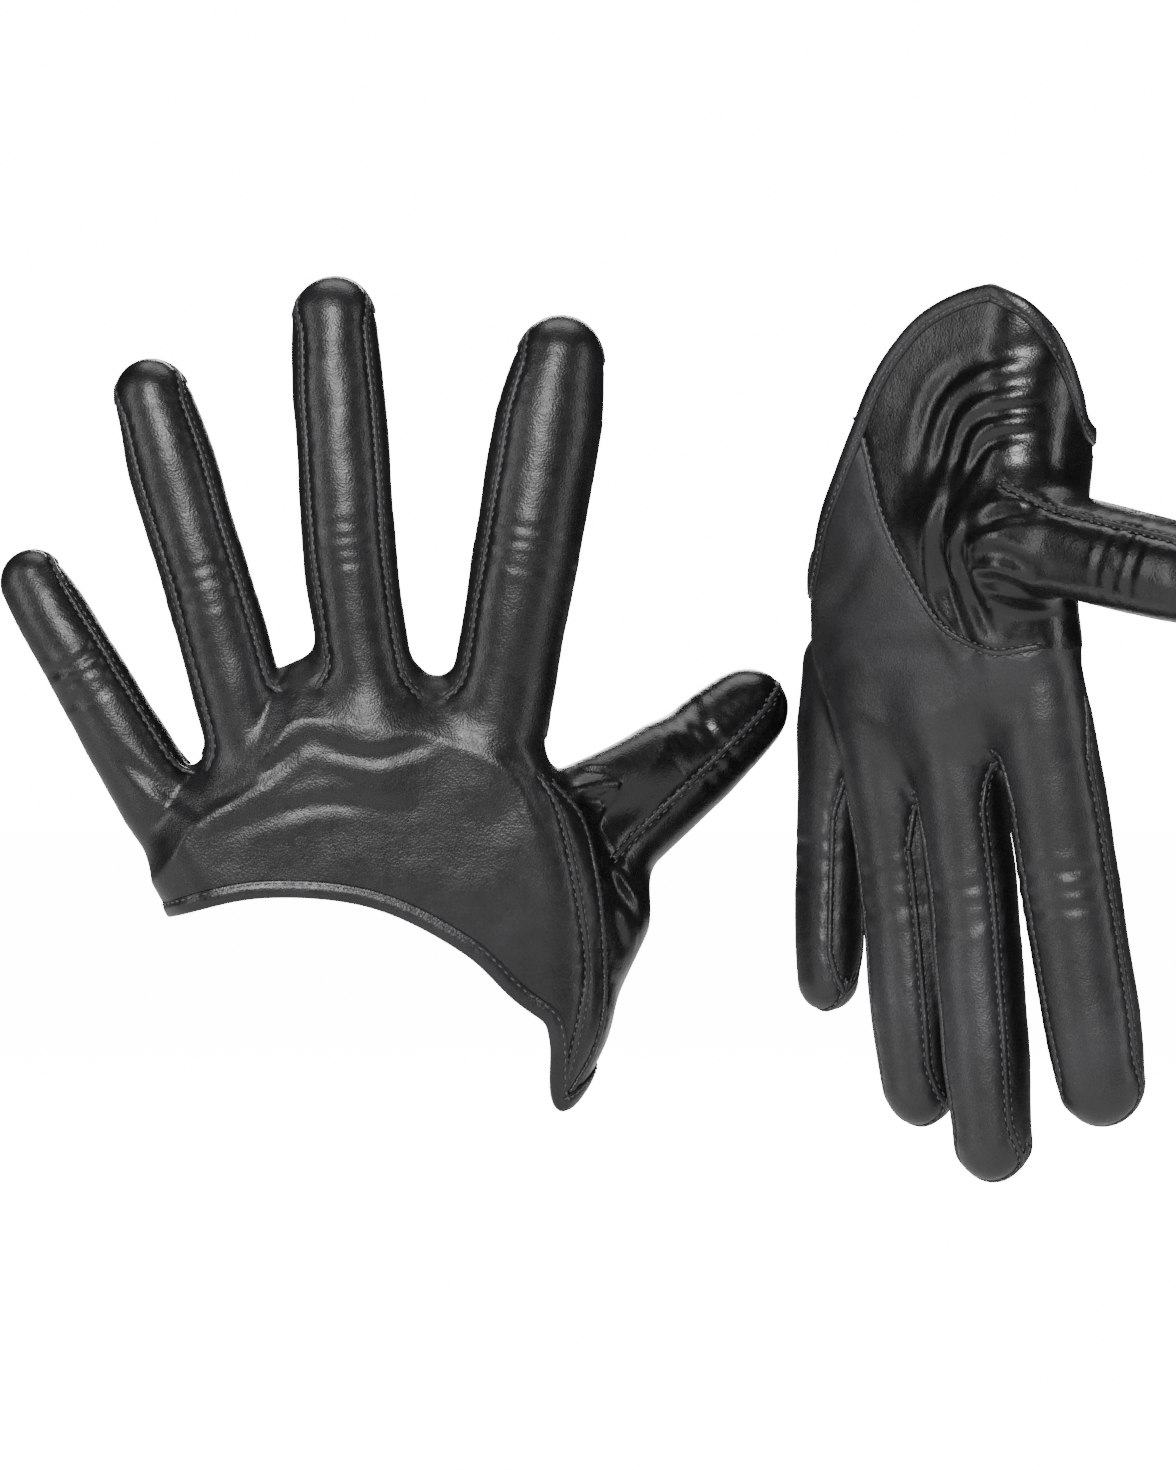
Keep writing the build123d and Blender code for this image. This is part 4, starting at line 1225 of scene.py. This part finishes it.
def line_parts(cut):
    """Each seam line split by the bodies it crosses: stall number, body, points, normals."""
    parts = []
    for stall, along, points, normals in cut.lines:
        if stall is None:
            parts.append((None, "hand", points, normals))
            continue
        number = cut.form.stalls.index(stall)
        start, _, _, _, border = bends(stall, cut.glove)
        straight = (points - stall.knuckle) @ stall.way
        if along[0] == along[-1]:
            parts.append((number, "upper", points, normals))
            continue
        foot = start - PIECE_LEAD
        for low, high, body in ((-np.inf, foot, "hand"), (foot, border, "lower"), (border, np.inf, "upper")):
            here = np.flatnonzero((straight >= low - 0.3) & (straight <= high + 0.3))
            if len(here) > 4:
                parts.append((number, body, points[here], normals[here]))
    return parts


def merge_pieces(name, pieces):
    """Several small objects made one."""
    mesh = bpy.data.meshes.new(name)
    whole = bmesh.new()
    for piece in pieces:
        whole.from_mesh(piece.data)
    whole.to_mesh(mesh)
    whole.free()
    mesh.materials.append(pieces[0].data.materials[0])
    for piece in pieces:
        old = piece.data
        bpy.data.objects.remove(piece)
        bpy.data.meshes.remove(old)
    for polygon in mesh.polygons:
        polygon.use_smooth = True
    merged = bpy.data.objects.new(name, mesh)
    bpy.context.scene.collection.objects.link(merged)
    return merged


rim = even_line(soften(tongue_edge, 4), 0.8)
rim_normals = np.stack([np.interp(np.linspace(0, 1, len(rim)), np.linspace(0, 1, len(tongue_normals)),
                                  tongue_normals[:, k]) for k in range(3)], axis=1)
piece, inward = band("glove_a_tongue_hem", rim, rim_normals, 1, HEM_PROFILE, "glove_a", HEM)
settle(piece, "glove_a", None, "hand")
STITCH_BESIDE = 0.74             # stitches run this far each side of a seam's middle
stitch_lines = {}
for glove, cut in cuts.items():
    groups = {}
    for number, body, points, normals in line_parts(cut):
        points = soften(even_line(points, 0.6), 3)
        normals = cut.form.outward(points)
        groups.setdefault((number if body != "hand" else None, body), []).append((points, normals))
    for (number, body), lines in groups.items():
        owner = "hand" if number is None else FINGER_BODIES[number]
        ridges = [band("seam", p, n, 1, RIDGE_PROFILE, glove, RIDGE)[0] for p, n in lines]
        piece = merge_pieces(f"{glove}_{owner}_{body}_seams", ridges)
        settle(piece, glove, number, body)
        stitch_lines[glove, number, body] = [(p, n, beside) for beside in (STITCH_BESIDE, -STITCH_BESIDE)
                                             for p, n in lines]
    stitch_lines[glove, None, "hand"] += [(p, n, 0.0) for g, p, n in hem_lines if g == glove]


# ---------------------------------------------------------------------------
# The stitches
# Fine black thread, about 14 stitches to the inch: one short stitch after another
# lies in the leather on each side of every seam and along the hems.
# ---------------------------------------------------------------------------
STITCH_PITCH = 1.75              # millimetres along the seam
STITCH_LENGTH = 0.00125          # metres
STITCH_WIDTH = 0.00038
TOPSTITCH_LIFT = 0.14            # topstitches lie on the leather, the others sink in a little
SEAM_STITCH_LIFT = -0.10


def thread_material():
    material = bpy.data.materials.new("black_thread")
    material.use_nodes = True
    tree = material.node_tree
    shader = tree.nodes["Principled BSDF"]
    place = add_node(tree, "ShaderNodeTexCoord", (-900, 0))
    twist = add_node(tree, "ShaderNodeTexNoise", (-650, 0))
    twist.inputs["Scale"].default_value = 2400.0
    shade = add_node(tree, "ShaderNodeValToRGB", (-400, 0))
    shade.color_ramp.elements[0].color = (0.03, 0.03, 0.032, 1)
    shade.color_ramp.elements[1].color = (0.10, 0.10, 0.105, 1)
    relief = add_node(tree, "ShaderNodeBump", (-250, -300))
    relief.inputs["Distance"].default_value = 0.00006
    shader.inputs["Roughness"].default_value = 0.55
    shader.inputs["Sheen Weight"].default_value = 0.15
    tree.links.new(place.outputs["Object"], twist.inputs["Vector"])
    tree.links.new(twist.outputs["Fac"], shade.inputs["Fac"])
    tree.links.new(shade.outputs["Color"], shader.inputs["Base Color"])
    tree.links.new(twist.outputs["Fac"], relief.inputs["Height"])
    tree.links.new(relief.outputs["Normal"], shader.inputs["Normal"])
    return material


def stitch_tree():
    """Points with a direction and a facing become small rounded stitches."""
    tree = bpy.data.node_groups.new("stitch_row", "GeometryNodeTree")
    tree.interface.new_socket("Geometry", in_out="INPUT", socket_type="NodeSocketGeometry")
    for name, value in (("Stitch Length", 0.0013), ("Stitch Width", 0.00036), ("Unevenness", 0.18)):
        tree.interface.new_socket(name, in_out="INPUT", socket_type="NodeSocketFloat").default_value = value
    tree.interface.new_socket("Seed", in_out="INPUT", socket_type="NodeSocketInt").default_value = 7
    tree.interface.new_socket("Thread", in_out="INPUT", socket_type="NodeSocketMaterial")
    tree.interface.new_socket("Geometry", in_out="OUTPUT", socket_type="NodeSocketGeometry")
    get, out = add_node(tree, "NodeGroupInput", (-900, 0)), add_node(tree, "NodeGroupOutput", (900, 0))
    link = tree.links.new
    points = add_node(tree, "GeometryNodeMeshToPoints", (-600, 100))
    link(get.outputs["Geometry"], points.inputs["Mesh"])
    along = add_node(tree, "GeometryNodeInputNamedAttribute", (-600, -200), data_type="FLOAT_VECTOR")
    along.inputs["Name"].default_value = "along"
    facing = add_node(tree, "GeometryNodeInputNamedAttribute", (-600, -400), data_type="FLOAT_VECTOR")
    facing.inputs["Name"].default_value = "facing"
    turn = add_node(tree, "FunctionNodeAxesToRotation", (-350, -250), primary_axis="X", secondary_axis="Z")
    link(along.outputs["Attribute"], turn.inputs["Primary Axis"])
    link(facing.outputs["Attribute"], turn.inputs["Secondary Axis"])
    bead = add_node(tree, "GeometryNodeMeshIcoSphere", (-350, 300))
    bead.inputs["Radius"].default_value = 0.5
    bead.inputs["Subdivisions"].default_value = 1
    uneven = add_node(tree, "FunctionNodeRandomValue", (-350, -500), data_type="FLOAT")
    minimum = add_node(tree, "ShaderNodeMath", (-550, -600), operation="SUBTRACT")
    minimum.inputs[0].default_value = 1.0
    link(get.outputs["Unevenness"], minimum.inputs[1])
    link(minimum.outputs[0], uneven.inputs[2])
    uneven.inputs[3].default_value = 1.0
    link(get.outputs["Seed"], uneven.inputs["Seed"])
    length = add_node(tree, "ShaderNodeMath", (-100, -400), operation="MULTIPLY")
    link(get.outputs["Stitch Length"], length.inputs[0])
    link(uneven.outputs[1], length.inputs[1])
    size = add_node(tree, "ShaderNodeCombineXYZ", (100, -400))
    link(length.outputs[0], size.inputs["X"])
    link(get.outputs["Stitch Width"], size.inputs["Y"])
    link(get.outputs["Stitch Width"], size.inputs["Z"])
    place = add_node(tree, "GeometryNodeInstanceOnPoints", (200, 100))
    link(points.outputs["Points"], place.inputs["Points"])
    link(bead.outputs["Mesh"], place.inputs["Instance"])
    link(turn.outputs["Rotation"], place.inputs["Rotation"])
    link(size.outputs["Vector"], place.inputs["Scale"])
    real = add_node(tree, "GeometryNodeRealizeInstances", (450, 100))
    link(place.outputs["Instances"], real.inputs["Geometry"])
    dress = add_node(tree, "GeometryNodeSetMaterial", (650, 100))
    link(real.outputs["Geometry"], dress.inputs["Geometry"])
    link(get.outputs["Thread"], dress.inputs["Material"])
    link(dress.outputs["Geometry"], out.inputs["Geometry"])
    return tree


THREAD = thread_material()
stitch_row = stitch_tree()
SOCKETS = {item.name: item.identifier for item in stitch_row.interface.items_tree if item.in_out == "INPUT"}


# Six or so stitches to the centimetre, each side of every seam and along the hems.
def stitches(name, glove, lines):
    """One object with the stitches of several lines."""
    axes = cuts[glove].form.axes
    spots, ways, ups = [], [], []
    for points, normals, offset in lines:
        points = even_line(points, STITCH_PITCH)
        if len(points) < 3:
            continue
        way = np.gradient(points, axis=0)
        way /= np.linalg.norm(way, axis=1)[:, None]
        up = cuts[glove].form.outward(points) if normals is not None else np.cross(way, (1.0, 0.0, 0.0))
        beside = np.cross(up, way)
        lift = SEAM_STITCH_LIFT if offset else TOPSTITCH_LIFT
        spots.append(points + beside * offset + up * lift)
        ways.append(way)
        ups.append(up)
    spots, ways, ups = (np.vstack(rows) for rows in (spots, ways, ups))
    mesh = bpy.data.meshes.new(name)
    mesh.from_pydata(axes.to_row(spots).tolist(), [], [])
    for label, rows in (("along", ways), ("facing", ups)):
        layer = mesh.attributes.new(label, "FLOAT_VECTOR", "POINT")
        layer.data.foreach_set("vector", (rows @ axes.turned).ravel())
    piece = bpy.data.objects.new(name, mesh)
    bpy.context.scene.collection.objects.link(piece)
    modifier = piece.modifiers.new("stitch_row", "NODES")
    modifier.node_group = stitch_row
    modifier[SOCKETS["Stitch Length"]] = STITCH_LENGTH
    modifier[SOCKETS["Stitch Width"]] = STITCH_WIDTH
    modifier[SOCKETS["Seed"]] = 7
    modifier[SOCKETS["Thread"]] = THREAD
    made = bpy.data.meshes.new_from_object(piece.evaluated_get(bpy.context.evaluated_depsgraph_get()))
    made.name = name
    piece.modifiers.remove(modifier)
    piece.data = made
    for polygon in made.polygons:
        polygon.use_smooth = True
    return piece


for (glove, number, body), lines in stitch_lines.items():
    owner = "hand" if number is None else FINGER_BODIES[number]
    piece = stitches(f"{glove}_{owner}_{body}_stitches", glove, lines)
    settle(piece, glove, number, body)


# ---------------------------------------------------------------------------
# Floor, light and camera
# A plain pale floor, a large soft light from the front and above, softer ones from
# both sides, and a camera level with the gloves and square to them.
# ---------------------------------------------------------------------------
VIEW_MIDDLE = (0.042, -0.003, 0.046)
LENS = 100.0
SENSOR = 36.0
VIEW_HEIGHT = 0.3014             # height that the picture takes in at the gloves
FLOOR_HALF = 6.0
FLOOR_BELOW = 0.012              # the floor lies this far below the view


def plain_material(name, colour, roughness):
    material = bpy.data.materials.new(name)
    material.use_nodes = True
    shader = material.node_tree.nodes["Principled BSDF"]
    shader.inputs["Base Color"].default_value = (*colour, 1)
    shader.inputs["Roughness"].default_value = roughness
    return material


floor_mesh = bpy.data.meshes.new("floor")
floor_z = VIEW_MIDDLE[2] - VIEW_HEIGHT / 2 - FLOOR_BELOW
floor_corners = [(x * FLOOR_HALF, y * FLOOR_HALF, floor_z) for x, y in ((-1, -1), (1, -1), (1, 1), (-1, 1))]
floor_mesh.from_pydata(floor_corners, [], [(0, 1, 2, 3)])
floor_mesh.materials.append(plain_material("pale_floor", (0.92, 0.92, 0.92), 0.9))
floor_tree = floor_mesh.materials[0].node_tree
floor_seen = add_node(floor_tree, "ShaderNodeLightPath", (-500, -200))
floor_glow = add_node(floor_tree, "ShaderNodeMath", (-250, -200), operation="MULTIPLY")
floor_glow.inputs[1].default_value = 15.0
floor_tree.links.new(floor_seen.outputs["Is Camera Ray"], floor_glow.inputs[0])
floor_tree.links.new(floor_glow.outputs[0], floor_tree.nodes["Principled BSDF"].inputs["Emission Strength"])
floor_tree.nodes["Principled BSDF"].inputs["Emission Color"].default_value = (1, 1, 1, 1)
floor = bpy.data.objects.new("floor", floor_mesh)
bpy.context.scene.collection.objects.link(floor)


def soft_light(name, place, aim, size, power):
    light = bpy.data.lights.new(name, "AREA")
    light.shape = "RECTANGLE"
    light.size, light.size_y = size
    light.energy = power
    lamp = bpy.data.objects.new(name, light)
    lamp.location = place
    lamp.rotation_euler = (Vector(aim) - Vector(place)).to_track_quat("-Z", "Y").to_euler()
    bpy.context.scene.collection.objects.link(lamp)


soft_light("front_light", (-0.12, -1.0, 0.55), VIEW_MIDDLE, (0.30, 0.26), 12.0)
soft_light("left_light", (-0.9, -0.45, 0.25), VIEW_MIDDLE, (0.22, 0.9), 4.2)
soft_light("right_light", (1.0, -0.45, 0.25), VIEW_MIDDLE, (0.22, 0.9), 3.6)
soft_light("top_light", (0.05, 0.15, 1.0), VIEW_MIDDLE, (0.8, 0.5), 5.0)
soft_light("back_light", (0.05, 1.1, 0.5), VIEW_MIDDLE, (0.5, 0.4), 11.0)

world = bpy.data.worlds.new("pale_room")
bpy.context.scene.world = world
world.use_nodes = True
backdrop = world.node_tree.nodes["Background"]
backdrop.inputs["Color"].default_value = (1, 1, 1, 1)
seen = add_node(world.node_tree, "ShaderNodeLightPath", (-500, 200))
strength = add_node(world.node_tree, "ShaderNodeMapRange", (-250, 100))
strength.inputs["To Min"].default_value = 0.03
strength.inputs["To Max"].default_value = 16.0
world.node_tree.links.new(seen.outputs["Is Camera Ray"], strength.inputs["Value"])
world.node_tree.links.new(strength.outputs["Result"], backdrop.inputs["Strength"])

lens = bpy.data.cameras.new("camera")
lens.lens = LENS
lens.sensor_width = SENSOR
camera = bpy.data.objects.new("camera", lens)
distance = VIEW_HEIGHT / SENSOR * LENS
camera.location = (VIEW_MIDDLE[0], VIEW_MIDDLE[1] - distance, VIEW_MIDDLE[2])
camera.rotation_euler = (math.pi / 2, 0, 0)
bpy.context.scene.collection.objects.link(camera)
bpy.context.scene.camera = camera
